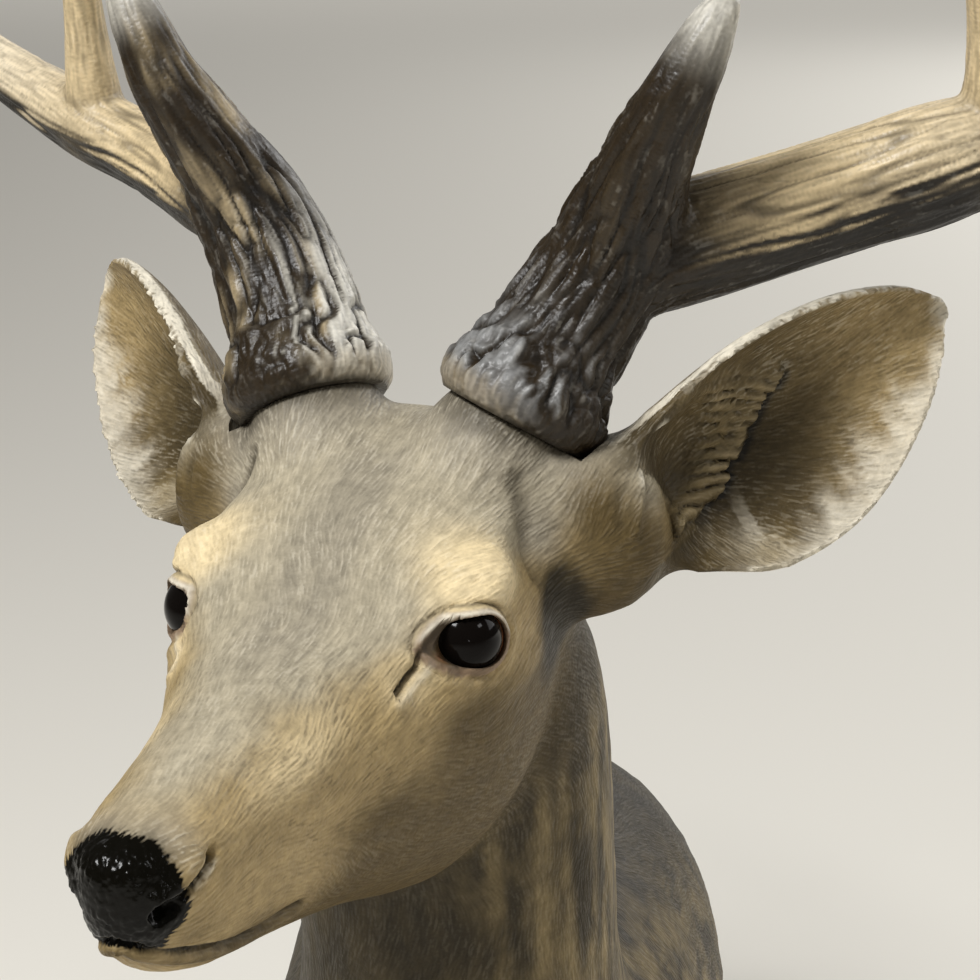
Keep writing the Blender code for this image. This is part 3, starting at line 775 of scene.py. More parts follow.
def store(mesh, name, kind, values):
    """Keep a value for each point of a mesh, for its material to read."""
    field = "color" if kind == "FLOAT_COLOR" else ("vector" if kind == "FLOAT_VECTOR" else "value")
    layer = mesh.attributes.new(name, kind, "POINT")
    if kind == "FLOAT_COLOR":
        values = np.concatenate([values, np.ones((len(values), 1))], axis=1)
    layer.data.foreach_set(field, np.ascontiguousarray(values, dtype=np.float32).ravel())


def cut_flat(obj, point, normal):
    """Take off what lies behind a plane, and close the cut."""
    bm = bmesh.new()
    bm.from_mesh(obj.data)
    everything = list(bm.verts) + list(bm.edges) + list(bm.faces)
    cut = bmesh.ops.bisect_plane(bm, geom=everything, dist=1e-6, plane_co=point,
                                 plane_no=normal, clear_inner=True)
    edges = [e for e in cut["geom_cut"] if isinstance(e, bmesh.types.BMEdge)]
    bmesh.ops.contextual_create(bm, geom=edges)
    bmesh.ops.triangulate(bm, faces=[f for f in bm.faces if len(f.verts) > 4])
    bmesh.ops.recalc_face_normals(bm, faces=bm.faces)
    bm.to_mesh(obj.data)
    bm.free()


def cut_away(obj, cutter):
    cut = obj.modifiers.new("Cut", "BOOLEAN")
    cut.operation = "DIFFERENCE"
    cut.solver = "MANIFOLD"
    cut.object = cutter
    bake(obj)
    bpy.data.objects.remove(cutter)


def refine(obj, chosen, rounds):
    """Split the faces of a place finer. chosen tells for middles of faces whether they count."""
    for _ in range(rounds):
        bm = bmesh.new()
        bm.from_mesh(obj.data)
        middles = np.array([f.calc_center_median() for f in bm.faces])
        picked = chosen(middles)
        edges = {e for f, use in zip(bm.faces, picked) if use for e in f.edges}
        bmesh.ops.subdivide_edges(bm, edges=list(edges), cuts=1, use_grid_fill=True, smooth=0.6)
        bmesh.ops.triangulate(bm, faces=[f for f in bm.faces if len(f.verts) > 4])
        bm.to_mesh(obj.data)
        bm.free()


def from_eye(points):
    """Distance from the middle of the left eye."""
    return np.linalg.norm(points - np.array(EYE_CENTRE), axis=1)


def mirrored(points):
    return np.stack([np.abs(points[:, 0]), points[:, 1], points[:, 2]], axis=1)


def blend_share(local):
    """Where neighbouring forms flow into each other: throat, nape, shoulders, ear roots."""
    aside = np.abs(local[:, 0])
    lower = np.clip((-75.0 - local[:, 2]) / 60.0, 0.0, 1.0)
    nape = np.clip((local[:, 1] - 60.0) / 30.0, 0.0, 1.0)
    nape = nape * np.clip((40.0 - local[:, 2]) / 20.0, 0.0, 1.0)
    root = (mirrored(local) - np.array(EAR_ROOT[0])) / (44.0, 46.0, 50.0)
    root = np.clip(2.0 - 2.0 * np.linalg.norm(root, axis=1), 0.0, 1.0)
    share = np.maximum(np.maximum(lower, nape), root)
    return np.where((aside > EAR_FROM) & (local[:, 2] > EAR_BELOW), 0.0, share)


# Fine carving of the left half, in head units
NOSTRIL = ((13, -169, -20.5), (17.9, -166.6, -20), (20, -164, -17.6),
           (21.6, -159.6, -14.4), (22.2, -153.7, -11.5), (22, -148.5, -9))
NOSTRIL_HOLE = ((16.4, -167.5, -18.6), (6.5, 6, 4.4))
FLANK = ((19.5, -166.5, -23.5), (22.5, -162.5, -19), (24, -157.5, -15), (24.2, -151, -11.5))
WING = ((14.5, -169, -15), (18, -163.5, -11.5), (19.5, -156, -7.5))
MOUTH = ((0, -175.5, -29), (3.8, -174, -29.5), (8.1, -168, -32.1),
         (12.9, -159.3, -37.6), (15.7, -149, -42.9), (17.5, -136, -48.2),
         (19.8, -123.1, -51.1), (22.5, -110.3, -52.5), (24, -98, -54.1))
TEAR_SLIT = ((44.5, -33, 8.5), (45, -35, 6), (43, -39.5, 2.8), (41.3, -47.5, -0.5))
TEAR_RIDGE = ((48.5, -34, 3.5), (46.5, -38, 1), (44, -45, -2.5), (42.5, -50, -3.5))
WRINKLES = (
    ((40, -27, 16), (43, -18, 25), (47, -8, 31)),
    ((36, -29, 18), (39, -20, 26), (42, -10, 32)),
    ((33, -27, 19.5), (35, -18, 27), (37, -8, 32.5)),
    ((45, -25, 15.5), (50, -15, 22), (56, -5, 25.5)),
)
# Creases: line, radius and depth; all but the first are also darkened with painted shade along their lines.
CREASES = (
    (((60, -12, -13), (54, -24, -9), (50, -32, -4)), 3.2, 0.7),
    (((52, 46, 44), (55, 43, 36), (60, 37, 24), (64, 33, 12)), 6, 1.3),
    (((84, 66, 47), (87, 60, 36), (88, 56, 24)), 3.2, 1.1),
    (((80, 62, 49), (82, 56, 38), (83, 52, 26)), 3, 0.8),
)
EAR_FOLD = ((92.5, 60, 20), (93, 65, 30), (92.5, 71, 38), (94, 82, 48),
            (97, 93, 57), (103, 97, 66))
TIP_FOLD = ((176, 172, 86), (179, 172, 80), (182, 172, 71), (182, 168, 62))
LOBE = ((130, 116, -6), (16, 22, 12))
TUFT_SPACING = 4.9

# Lines pressed into the face one after another: radius and depth, which is below nought for a ridge
PRESSED = (
    (MOUTH, 2.4, 3.0),
    ([(x - 1.0, y, z - 4.0) for x, y, z in MOUTH], 4.0, -1.7),
    (TEAR_SLIT, 2.2, 2.6),
    (TEAR_RIDGE, 3.4, -1.5),
    (EAR_FOLD, 2.6, -1.8),
    (TIP_FOLD, 2.0, 1.3),
) + tuple((line, 1.9, 0.8) for line in WRINKLES)

# Airbrushed spots of the left half: colour, centre, radii and strength
FACE_SPOTS = (
    ("cream", (54, -2, 27), (28, 34, 22), 1.5),
    ("cream", (36, 4, 34), (20, 30, 18), 0.25),
    ("cream", (44, -40, 2), (14, 24, 12), 0.7),
    ("cream", (27, -95, -2), (14, 44, 14), 0.6),
    ("brown", (58, -20, -24), (26, 34, 22), 1.15),
    ("brown", (42, -60, -44), (24, 50, 24), 1.05),
    ("brown", (54, 6, -66), (24, 44, 30), 0.9),
    ("brown", (20, -128, -52), (16, 50, 13), 0.9),
)
TEMPLE_SPOTS = (
    ("dark", (68, 46, -10), (18, 26, 36), 1.9),
    ("ash", (61, 44, 24), (16, 16, 16), 0.9),
    ("brown", (80, 58, 26), (22, 26, 34), 1.1),
    ("brown", (92, 60, 8), (22, 30, 38), 1.4),
)
NOSE_SPOTS = (
    ("ash", (14, -160, 2), (22, 20, 14), 0.7),
    ("dark", (10, -167, 0), (20, 13, 14), 0.8),
    ("brown", (24, -158, -34), (14, 20, 12), 0.5),
)


def eye_axes(points):
    """Place round the left eye: towards the outer corner, up, and out."""
    away = points - np.array(EYE_CENTRE)
    return away @ np.array(EYE_ALONG), away @ np.array(EYE_UP), away @ np.array(EYE_OUT)


def almond(count, inner):
    """Outline of the opening of the lids, seen from the front of the eye."""
    outer, above, below = EYE_OPENING
    outline = []
    for k in range(count):
        angle = math.tau * k / count
        along, up = math.cos(angle), math.sin(angle)
        outline.append((along * (outer if along > 0 else inner),
                        up * (above if up > 0 else below) * abs(up) ** CORNER_POINT))
    return np.array(outline)


def lid_distance(points):
    """Distance outwards from the lids' edge on the left eye, and height above its middle."""
    along, up, out = eye_axes(points)
    outline = almond(120, INNER_CORNER)
    place = np.stack([along, up], axis=1)
    gap = np.linalg.norm(place[:, None, :] - outline[None, :, :], axis=2)
    nearest = gap.argmin(axis=1)
    best = gap[np.arange(len(gap)), nearest]
    inside = np.linalg.norm(place, axis=1) < np.linalg.norm(outline[nearest], axis=1)
    return np.where(inside, -best, best), up, along, out


def carve_lids(points, normals):
    """Swell the skin over the ball, with a raised upper rim, a crease and a lower band."""
    form = bpy.context.scene.stag_form
    near = from_eye(points) < 40.0
    p = points[near]
    n = normals[near]
    local = p - np.array(EYE_CENTRE)
    distance = np.linalg.norm(local, axis=1)
    facing = local @ np.array(EYE_OUT) / np.maximum(distance, 1e-6)
    lid = (form.eye_radius + form.lid_thickness) / head_unit()
    lift = np.clip(lid - distance, 0.0, None) * np.clip(facing / 0.3, 0.0, 1.0)
    p = p + local / np.maximum(distance, 1e-6)[:, None] * lift[:, None]
    edge, up, along, out = lid_distance(p)
    distance = from_eye(p)
    snug = (form.eye_radius + LID_EDGE) / head_unit() + 0.5 * np.clip(edge, 0.0, None)
    over = np.clip(distance - snug, 0.0, None) * (1.0 - ease(edge, 1.5, 8.0))
    over *= ease(facing, 0.05, 0.4) * ease(along, -17.0, -11.0)
    p = p - (p - np.array(EYE_CENTRE)) / distance[:, None] * over[:, None]
    front = ease(out, 0.0, 6.0)
    above = ease(up, -1.0, 2.0)
    rim = falloff(edge - 0.9, 1.3) * 0.95 * above
    crease = falloff(edge - 3.2, 1.5) * 1.0 * above
    fold = falloff(edge - 6.0, 3.4) * 0.9 * above
    band = falloff(edge - 1.0, 1.4) * 0.35 * (1.0 - above)
    under = falloff(edge - 3.6, 1.3) * 0.8 * (1.0 - above)
    bag = falloff(edge - 6.6, 3.4) * 0.7 * (1.0 - above)
    corner = ease(-edge, -0.4, 1.6) * ease(-along, 9.0, 13.0) * 1.9
    shift = (rim - crease + fold + band - under + bag - corner) * front
    points = points.copy()
    points[near] = p + n * shift[:, None]
    return points


def press(points, normals, line, radius, depth, grow=1.0):
    """Groove drawn along a line; below nought it is a ridge. It grows towards its start."""
    distance, share = line_distance(points, line)
    width = radius * (grow + (1.0 - grow) * share)
    strength = falloff(distance, width) * (grow + (1.0 - grow) * share)
    return points - strength[:, None] * normals * depth


def pad_pebbles(local):
    """Small cushions of the wet nose pad, parted by fine grooves."""
    first, second = cell_noise(local * (1.0, 0.8, 0.7), 2.9, 65)
    return (ease(second - first, 0.0, 0.45) - 0.7) * nose_share(local)


def carve_face(points, normals):
    """Nostrils, mouth, tear slits, lids and wrinkles, both sides alike, in head units."""
    for sign in SIDES.values():
        flip = np.array((sign, 1.0, 1.0))
        p = points * flip
        use = (p[:, 0] > -0.8) & (p[:, 2] > -75.0)
        mine = use[:, None]
        q = p[use]
        m = (normals * flip)[use]
        q = press(q, m, NOSTRIL, 2.9, 4.4, 1.5)
        q = q - m * (blob(q, *NOSTRIL_HOLE) * 5.0)[:, None]
        q = press(q, m, FLANK, 3.4, -2.0)
        q = press(q, m, WING, 4.6, -1.8)
        q = q + m * (pad_pebbles(q) * 0.45)[:, None]
        for line, radius, depth in PRESSED + CREASES:
            q = press(q, m, line, radius, depth)
        q = carve_lids(q, m)
        p[use] = q
        points = np.where(mine, p * flip, points)
    return points


def ear_places(local, side):
    """Share along the ear, share across it from the upper rim, and how much it faces in."""
    inner, outer = ear_grid(side, *EAR_GRID)
    count, across = inner.shape[:2]
    tree = KDTree(count * across * 2)
    for index, point in enumerate(np.concatenate([inner.reshape(-1, 3), outer.reshape(-1, 3)])):
        tree.insert(point, index)
    tree.balance()
    sided = local * np.array((SIDES[side], 1.0, 1.0))
    picked = np.flatnonzero(sided[:, 0] > 74.0)
    along = np.zeros(len(local))
    wide = np.zeros(len(local))
    inward = np.zeros(len(local))
    near = np.full(len(local), 1e3)
    for index in picked:
        _, found, distance = tree.find(sided[index])
        inward[index] = 1.0 if found < count * across else 0.0
        found %= count * across
        along[index] = (found // across) / (count - 1)
        wide[index] = (found % across) / (across - 1)
        near[index] = distance
    return along, wide, inward, near


def tuft_form(local, side):
    """Rows of hair tufts along the front of the cup: the mass and the rolls on it, whose crests get a
    painted highlight, and the gaps between and past them, which get painted shade.
    """
    x, _, z = (local * np.array((SIDES[side], 1.0, 1.0))).T
    wobble = soft_noise(local, 9.0, 3) * 1.1
    start = 94.0 + 0.16 * (z - 20.0)
    middle = 105.0 + 0.46 * (z - 13.0)
    stack = z + wobble + 0.012 * (x - start) ** 2 + soft_noise(local, 4.0, 4) * 0.5
    row = np.floor(stack / TUFT_SPACING)
    ragged = hashed(np.stack([row, row * 0, row * 0], 1).astype(np.int64), 8) * 4.0 - 2.4
    end = middle + ragged
    tall = ease(z, 4.0, 14.0) * (1.0 - ease(z, 56.0, 68.0))
    mass = ease(x, start - 4.0, start + 4.0) * (1.0 - ease(x, end - 0.6, end + 0.8)) * tall
    phase = np.mod(stack / TUFT_SPACING, 1.0) * 2.0 - 1.0
    roll = np.sqrt(np.clip(1.0 - phase ** 2, 0.0, 1.0))
    ribbed = mass * ease(x, start - 1.0, start + 6.0)
    shade = (1.0 - ease(np.abs(x - end - 2.0), 0.5, 3.5)) * tall
    gap = np.maximum(ribbed * (1.0 - roll) ** 1.5, shade)
    return mass * 2.4 + roll * ribbed * 2.6, roll * ribbed, gap


def carve_ears(local, normals, places):
    """Tufts along the front of the cup, small ones on the lobe, and strands."""
    for side in SIDES:
        along, wide, inward, near = places[side]
        on = (near < 7.0) & (local[:, 0] * SIDES[side] > 86.0)
        sided = local * np.array((SIDES[side], 1.0, 1.0))
        x, _, z = sided.T
        blade = z * 0.8 - x * 0.5 + soft_noise(local, 8.0, 3) * 1.3
        blade = np.abs(np.mod(blade / 3.4, 1.0) * 2.0 - 1.0)
        shift = tuft_form(local, side)[0] + blade * 1.5 * blob(sided, *LOBE)
        strands = soft_noise(np.stack([wide * 24.0, along * EAR_LENGTH / 16.0, wide * 0], 1), 1.0, 5)
        inner = np.minimum(ease(wide, 0.06, 0.2), 1.0 - ease(wide, 0.82, 0.95))
        inner = inner * (1.0 - ease(along, 0.88, 0.95))
        shift += strands * 0.30 * ease(along, 0.25, 0.45) * inner
        shift = np.where(on, shift * inward, 0.0)
        local = local + normals * shift[:, None]
    return local


def head_turned(direction):
    """A direction of the world in the head's axes."""
    return np.array(head_matrix().to_3x3().inverted()) * head_unit() @ np.array(direction)


def hair_directions(local, normals, places):
    """Way the hair lies at each point, in head axes and in the skin."""
    down = head_turned(HAIR_DOWN)
    rear = head_turned(HAIR_REAR)
    sign = np.sign(local[:, 0])
    aside = np.abs(local[:, 0])
    low = ease(-local[:, 2], 0.0, 60.0)
    flow = np.stack([sign * (0.10 + 0.25 * ease(aside, 10.0, 50.0)), np.ones(len(local)),
                     0.25 - 0.75 * low], axis=1)
    neck = ease(-local[:, 2] + local[:, 1] * 0.5, 95.0, 150.0)[:, None]
    flow = flow * (1.0 - neck) + down * neck
    world = transform(local, head_matrix())
    trunk = (ease(world[:, 1], 0.0, 0.06) * ease(0.34 - world[:, 2], 0.0, 0.05))[:, None]
    flow = flow * (1.0 - trunk) + rear * trunk
    for side in SIDES:
        along, wide, inward, near = places[side]
        inner, _ = ear_grid(side, *EAR_GRID)
        steps = unit_rows(np.gradient(inner, axis=0), 1e-9)
        spread = unit_rows(np.gradient(inner, axis=1), 1e-9)
        i = np.clip((along * (EAR_GRID[0] - 1)).round().astype(int), 0, EAR_GRID[0] - 1)
        j = np.clip((wide * EAR_GRID[1]).round().astype(int), 0, EAR_GRID[1])
        lean = (wide - 0.45)[:, None] * 2.2 * inward[:, None]
        lay = steps[i, j] + spread[i, j] * lean
        lay = lay * np.array((SIDES[side], 1.0, 1.0))
        share = (ease(along, 0.06, 0.22) * (near < 6.0))[:, None]
        flow = flow * (1.0 - share) + lay * share
    wander = np.stack([soft_noise(local, 26.0, seed) for seed in (11, 12, 13)], axis=1)
    flow = unit_rows(flow) + wander * 0.42
    flow -= normals * np.sum(flow * normals, axis=1, keepdims=True)
    return unit_rows(flow)


def drawn_noise(points, flow, size, step, taps, seed=0):
    """Noise drawn out along the hair."""
    total = np.zeros(len(points))
    for k in range(taps):
        total += soft_noise(points + flow * step * (k - (taps - 1) / 2), size, seed)
    return total / taps


def coat_relief(local, flow, places):
    """Height of the hair's clumps at each point, in head units."""
    fine = drawn_noise(local, flow, 3.2, 2.6, 5, 21)
    broad = drawn_noise(local, flow, 8.0, 7.0, 5, 22)
    face = 1.0 - ease(-local[:, 2] + local[:, 1] * 0.5, 70.0, 140.0)
    height = fine * (0.42 - 0.10 * face) + broad * (1.0 - 0.72 * face)
    bare = np.clip(nose_share(local) + lid_share(local), 0.0, 1.0)
    for side in SIDES:
        along, _, _, near = places[side]
        bare = np.maximum(bare, (near < 6.0) * ease(along, 0.1, 0.25) * 0.92)
    return height * (1.0 - bare)


def nose_share(local):
    """Bare wet pad of the nose, down to the upper lip and out to the nostrils."""
    aside = np.abs(local[:, 0])
    line = -162.0 + ease(-local[:, 2], 4.0, 22.0) * 5.5 - ease(aside, 9.0, 20.0) * 3.0
    front = ease(line - local[:, 1], -5.0, 4.0)
    above = ease(local[:, 2] + 31.5 + aside * 0.25, 0.0, 2.0)
    out = 1.0 - ease(aside + ease(-local[:, 2], 21.0, 32.0) * 7.0, 18.0, 22.0)
    return front * above * out


def lid_share(local):
    """Bare skin round the eye."""
    side = mirrored(local)
    near = from_eye(side) < 32.0
    share = np.zeros(len(local))
    edge, up, _, out = lid_distance(side[near])
    band = np.where(up > 0, 2.0, 3.0)
    share[near] = (1.0 - ease(edge, band * 0.75, band * 1.15)) * ease(out, 0.0, 4.0)
    return share


def coat_paint(local, places, tufts):
    """Airbrushed colour at each point, laid on in coats from broad to small, with painted shade in creases,
    grooves, ear cups and round the antlers' feet, and painted light on the neck and the ears' tufts.
    """
    paint = bpy.context.scene.stag_paint
    side = mirrored(local)
    x, y, z = side.T
    wander = soft_noise(local, 22.0, 31) * 0.5 + soft_noise(local, 9.0, 32) * 0.3
    coats = Coats(paint.tan, len(local))
    coat = coats.lay

    def airbrush(spots):
        for name, centre, radii, share in spots:
            coat(getattr(paint, name), blob(side, centre, radii) * share)

    coat(paint.brown, ease(-z + y * 0.42 + wander * 10.0, 2.0, 34.0))
    coat(paint.grey, ease(z - x * 0.35 + wander * 8.0, -12.0, 8.0) * ease(-y, -75.0, -30.0))
    coat(paint.grey, ease(z, 18.0, 34.0))
    airbrush(FACE_SPOTS)
    streak = falloff(np.abs(x - 5.0 - wander * 6.0), 16.0) * ease(y, -100.0, -50.0)
    streak = streak * (1.0 - ease(y, 34.0, 62.0))
    coat(paint.ash, streak * ease(z, 6.0, 18.0) * 0.6)
    # Painted shade round the foot of each antler: a grey coat farther out, and a darker one under the burr's
    # rim.
    burr = np.linalg.norm(side - np.array(BURR_CENTRE), axis=1)
    coat(paint.ash, (1.0 - ease(burr + wander * 8.0, 30.0, 56.0)) * 0.8)
    coat(paint.dark, (1.0 - ease(burr + wander * 5.0, 26.0, 38.0)) * 0.75)
    airbrush(TEMPLE_SPOTS)
    coat(paint.dark, ease(y - z * 0.5, 66.0, 104.0) * ease(-z + 70.0, 0.0, 30.0) * 0.75)
    airbrush(NOSE_SPOTS)
    neck = ease(-z + y * 0.5, 95.0, 140.0)
    lay = np.tile(head_turned(HAIR_DOWN), (len(local), 1))
    strands = drawn_noise(local, lay, 6.0, 7.0, 5, 33)
    # The neck's dark coat and straw streaks are partly its colour and partly painted light: darker on the
    # stag's right, which the head shades, and with stronger pale streaks on its left as a painted rim light.
    painted_light_side = ease(local[:, 0], 10.0, 62.0)
    coat(paint.dark, neck * (0.95 - 0.7 * painted_light_side))
    coat(paint.straw, neck * ease(strands + wander * 0.3, -0.4, 0.45) * (0.14 + 0.9 * painted_light_side))
    coat(paint.dark, neck * ease(-strands, 0.05, 0.5) * 0.55)
    for name in SIDES:
        along, wide, inward, near = places[name]
        on = (near < 7.0) * ease(along, 0.06, 0.20)
        flat = np.stack([along, wide, along * 0], 1)
        coat(paint.brown, on * 0.95)
        inside = on * inward
        coat(paint.tan, inside * ease(along + wander * 0.1, 0.5, 0.8) * 0.75)
        # Painted shade: darker in the deep middle of the cup and towards its root by the head.
        coat(paint.dark, inside * blob(flat, (0.44, 0.56, 0.0), (0.34, 0.30, 1.0)) * 0.75)
        coat(paint.dark, inside * (1.0 - ease(along, 0.2, 0.34)) * 0.6)
        # Painted highlights in straw and cream on the tufts' crests, and painted shade in nose black in the
        # gaps between the rolls and past the tufts' ends.
        crest_highlight, gap = tufts[name]
        coat(paint.straw, inside * crest_highlight * 0.6)
        coat(paint.cream, inside * crest_highlight ** 6 * ease(wander, -0.3, 0.5) * 0.5)
        coat(paint.nose, inside * gap * 0.92)
        streaks = soft_noise(np.stack([wide * 3.0, along * 46.0, wide * 0], 1), 1.0, 37) * 0.13
        pale = ease(wide + wander * 0.06 + streaks, 0.66, 0.93) * ease(along, 0.28, 0.46)
        coat(paint.rim, inside * pale * 0.72)
        edge = np.maximum(1.0 - ease(wide, 0.03, 0.075), ease(wide, 0.93, 0.98))
        coat(paint.rim, on * edge * ease(along, 0.14, 0.3))
        coat(paint.rim, on * ease(along, 0.93, 0.98) * 0.75)
        coat(paint.straw, inside * blob(side, *LOBE) * 0.8)
    coat(paint.rim, near_line(side, EAR_FOLD, 2.0) * 1.2 * ease(z, 22.0, 34.0))
    # Painted shade in the fold near the ear's tip and along the creases of the face and temple.
    coat(paint.dark, near_line(side, TIP_FOLD, 2.2) * 0.8)
    for line, radius, _ in CREASES[1:]:
        coat(paint.dark, near_line(side, line, radius) * 0.75)
    coat(paint.lid, lid_share(local) * 0.9)
    near = np.flatnonzero(from_eye(side) < 34.0)
    edge, up, along, _ = lid_distance(side[near])
    rim = np.zeros(len(local))
    rim[near] = falloff(edge - 1.1, 1.1) * ease(up, 1.0, 4.0)
    coat(paint.rim, rim * 0.9)
    # Painted shade in the crease over the upper lid and in the recess just inside the lids' edge.
    lid_shade = np.zeros(len(local))
    crease = falloff(edge - 3.2, 1.1) * ease(up, 0.0, 3.0) * 0.6
    lid_shade[near] = np.maximum(crease, ease(-edge, -0.3, 0.8) * 0.75)
    coat(paint.dark, lid_shade)
    # Painted shade along the floor of the tear slit's groove.
    coat(paint.dark, falloff(sunk_distance(side, TEAR_SLIT, 2.6)[0], 1.9) * 1.1)
    coat(paint.rim, near_line(side, TEAR_RIDGE, 2.4) * 0.45)
    caruncle = np.zeros(len(local))
    caruncle[near] = falloff(np.hypot((along + 16.0) / 4.5, (up + 3.4) / 3.4)) * (edge < 0.6)
    coat(paint.brown, (caruncle > 0) * 0.5)
    coat(paint.amber, caruncle * 0.8)
    # Painted shade along the floor of the mouth's groove.
    coat(paint.dark, falloff(sunk_distance(side, MOUTH, 3.0)[0], 2.3) * 1.6)
    lip = [(a - 1.5, b, c - 4.5) for a, b, c in MOUTH]
    coat(paint.brown, near_line(side, lip, 5.0) * 0.9)
    flank = near_line(side, FLANK, 5.2) * 1.3
    bristle = ease(soft_noise(local, 1.5, 71), -0.3, 0.3)
    coat(paint.dark, flank * (1.0 - bristle) * 0.8)
    coat(paint.rim, flank * bristle * 0.75)
    coat(paint.brown, near_line(side, WING, 4.2) * 0.8)
    # Painted shade: nose black laid in the nostril's groove and hole.
    distance, share = sunk_distance(side, NOSTRIL, 5.0)
    coat(paint.nose, falloff(distance, 4.6 - 2.4 * share) * (1.0 - 0.25 * share) * 1.6)
    return coats.colour


def pale_hair_share(local, places):
    """Where the tips of the hair are pale."""
    side = mirrored(local)
    share = ease(side[:, 2] - side[:, 0] * 0.3, -4.0, 16.0) * 0.8
    share = np.maximum(share, blob(side, (10.0, -160.0, 0.0), (26.0, 20.0, 18.0)) * 1.6)
    share = np.maximum(share, near_line(side, FLANK, 5.0) * 3.0)
    share = np.maximum(share, 0.12)
    for name in SIDES:
        along, wide, _, near = places[name]
        share = np.maximum(share, (near < 6.0) * ease(along, 0.2, 0.35) * ease(wide, 0.4, 0.8) * 0.7)
    return np.clip(share, 0.0, 1.0)


def fleck_share(local, places):
    """Where dark hairs are scattered through the coat."""
    share = 0.25 + 0.75 * blob(mirrored(local), (30.0, -84.0, -10.0), (40.0, 80.0, 44.0))
    for name in SIDES:
        along, _, _, near = places[name]
        share = np.maximum(share, (near < 6.0) * ease(along, 0.2, 0.35) * 0.8)
    return np.clip(share, 0.0, 1.0)


def build_bust():
    """Head, ears, neck and shoulders as one carved and painted skin."""
    form = bpy.context.scene.stag_form
    head = head_matrix()
    inverse = head.inverted()
    parts = [head_solid(), neck_solid(), body_solid()]
    trees = {}
    for side in SIDES:
        ear = ear_solid(side)
        trees[side] = skin_tree(ear)
        parts += [ear, stump_solid(side), lump("ear root", *EAR_ROOT, side)]
    bust = fuse("stag_bust", parts, form.skin_grain)
    finer = (ROUNDS_GRAIN / form.skin_grain) ** 2
    points = points_of(bust.data)
    local = transform(points, inverse)
    firm = np.where(np.abs(local[:, 0]) > EAR_FROM, 0.3, 1.0)
    points = smooth(bust.data, points, firm, round(SKIN_ROUNDS * finer))
    points = smooth(bust.data, points, blend_share(local), round(BLEND_ROUNDS * finer))
    points = settle_ears(points, transform(points, inverse), trees)
    local = transform(points, inverse)
    for sign in SIDES.values():
        flip = np.array((sign, 1.0, 1.0))
        q = local * flip
        for centre, radius, move in FACE:
            distance = np.linalg.norm((q - np.array(centre)) / np.array(radius), axis=1)
            q = q + falloff(distance)[:, None] * np.array(move)
        local = np.where((local[:, 0] * sign > -1.0)[:, None], q * flip, local)
    set_points(bust.data, transform(local, head))
    thin_body(bust, local)
    cut_flat(bust, Vector((0.0, 0.0, 0.0)), Vector((0.0, 0.0, 1.0)))
    for side in SIDES:
        reach = form.coronet_radius * SEAT_PLAY
        profile = ((0.0, reach), (1.5 * reach, reach))
        cut_away(bust, disc_stack("seat cutter", burr_frame(side), profile, 64))

    def by_eyes(middles):
        place = mirrored(transform(middles, inverse))
        return (from_eye(place) < 27.0) & (place[:, 0] > 36.0)

    def by_nose(middles):
        place = mirrored(transform(middles, inverse))
        nostril = line_distance(place, NOSTRIL)[0] < 9.0
        nostril |= (place[:, 1] < -160.0) & (place[:, 2] > -34.0)
        for line in (MOUTH, TEAR_SLIT):
            nostril |= line_distance(place, line)[0] < 6.0
        return nostril

    def by_tufts(middles):
        place = mirrored(transform(middles, inverse))
        x, y, z = place.T
        inside = (y < 113.0 + (x - 94.0) * 0.95) & (x > 90.0)
        return inside & (x < 132.0) & (z > 2.0) & (z < 68.0) & (y > 84.0)

    refine(bust, lambda middles: by_eyes(middles) | by_nose(middles) | by_tufts(middles), 1)
    turn = np.array(inverse.to_3x3()) * head_unit()
    local = transform(points_of(bust.data), inverse)
    normals = normals_of(bust.data) @ turn.T
    local = carve_face(local, normals)
    set_points(bust.data, transform(local, head))
    for side in SIDES:
        cut_away(bust, opening_cutter(side))
        cut_away(bust, ball("socket cutter", side, form.eye_radius + form.joint_gap, 48, 32))
    local = transform(points_of(bust.data), inverse)
    normals = normals_of(bust.data) @ turn.T
    places = {side: ear_places(local, side) for side in SIDES}
    # The tufts' crests and gaps, kept for their painted highlights and painted shade.
    tufts = {side: tuft_form(local, side)[1:] for side in SIDES}
    local = carve_ears(local, normals, places)
    flow = hair_directions(local, normals, places)
    world_height = local @ np.array(head.to_3x3())[2] + head.translation.z
    kept = np.clip(world_height / FOOT_FADE, 0.0, 1.0)
    seats = np.ones(len(local))
    for side in SIDES:
        inside = transform(transform(local, head), burr_frame(side).inverted())
        flat = (np.abs(inside[:, 2]) < 0.0004) & (np.hypot(inside[:, 0], inside[:, 1]) < 0.04)
        seats = np.where(flat, 0.0, seats)
    local = local + normals * (coat_relief(local, flow, places) * kept * seats)[:, None]
    points = transform(local, head)
    points[:, 2] = np.maximum(points[:, 2], 0.0)
    set_points(bust.data, points)
    normals = normals_of(bust.data) @ turn.T
    store(bust.data, "paint", "FLOAT_COLOR", coat_paint(local, places, tufts))
    store(bust.data, "hair", "FLOAT_VECTOR", flow @ np.array(head.to_3x3()).T / head_unit())
    bare = np.clip(nose_share(local), 0.0, 1.0)
    store(bust.data, "wet", "FLOAT", bare)
    store(bust.data, "frost", "FLOAT", pale_hair_share(local, places))
    store(bust.data, "flecks", "FLOAT", fleck_share(local, places))
    store(bust.data, "bare", "FLOAT", np.clip(bare + lid_share(local), 0.0, 1.0))
    return bust


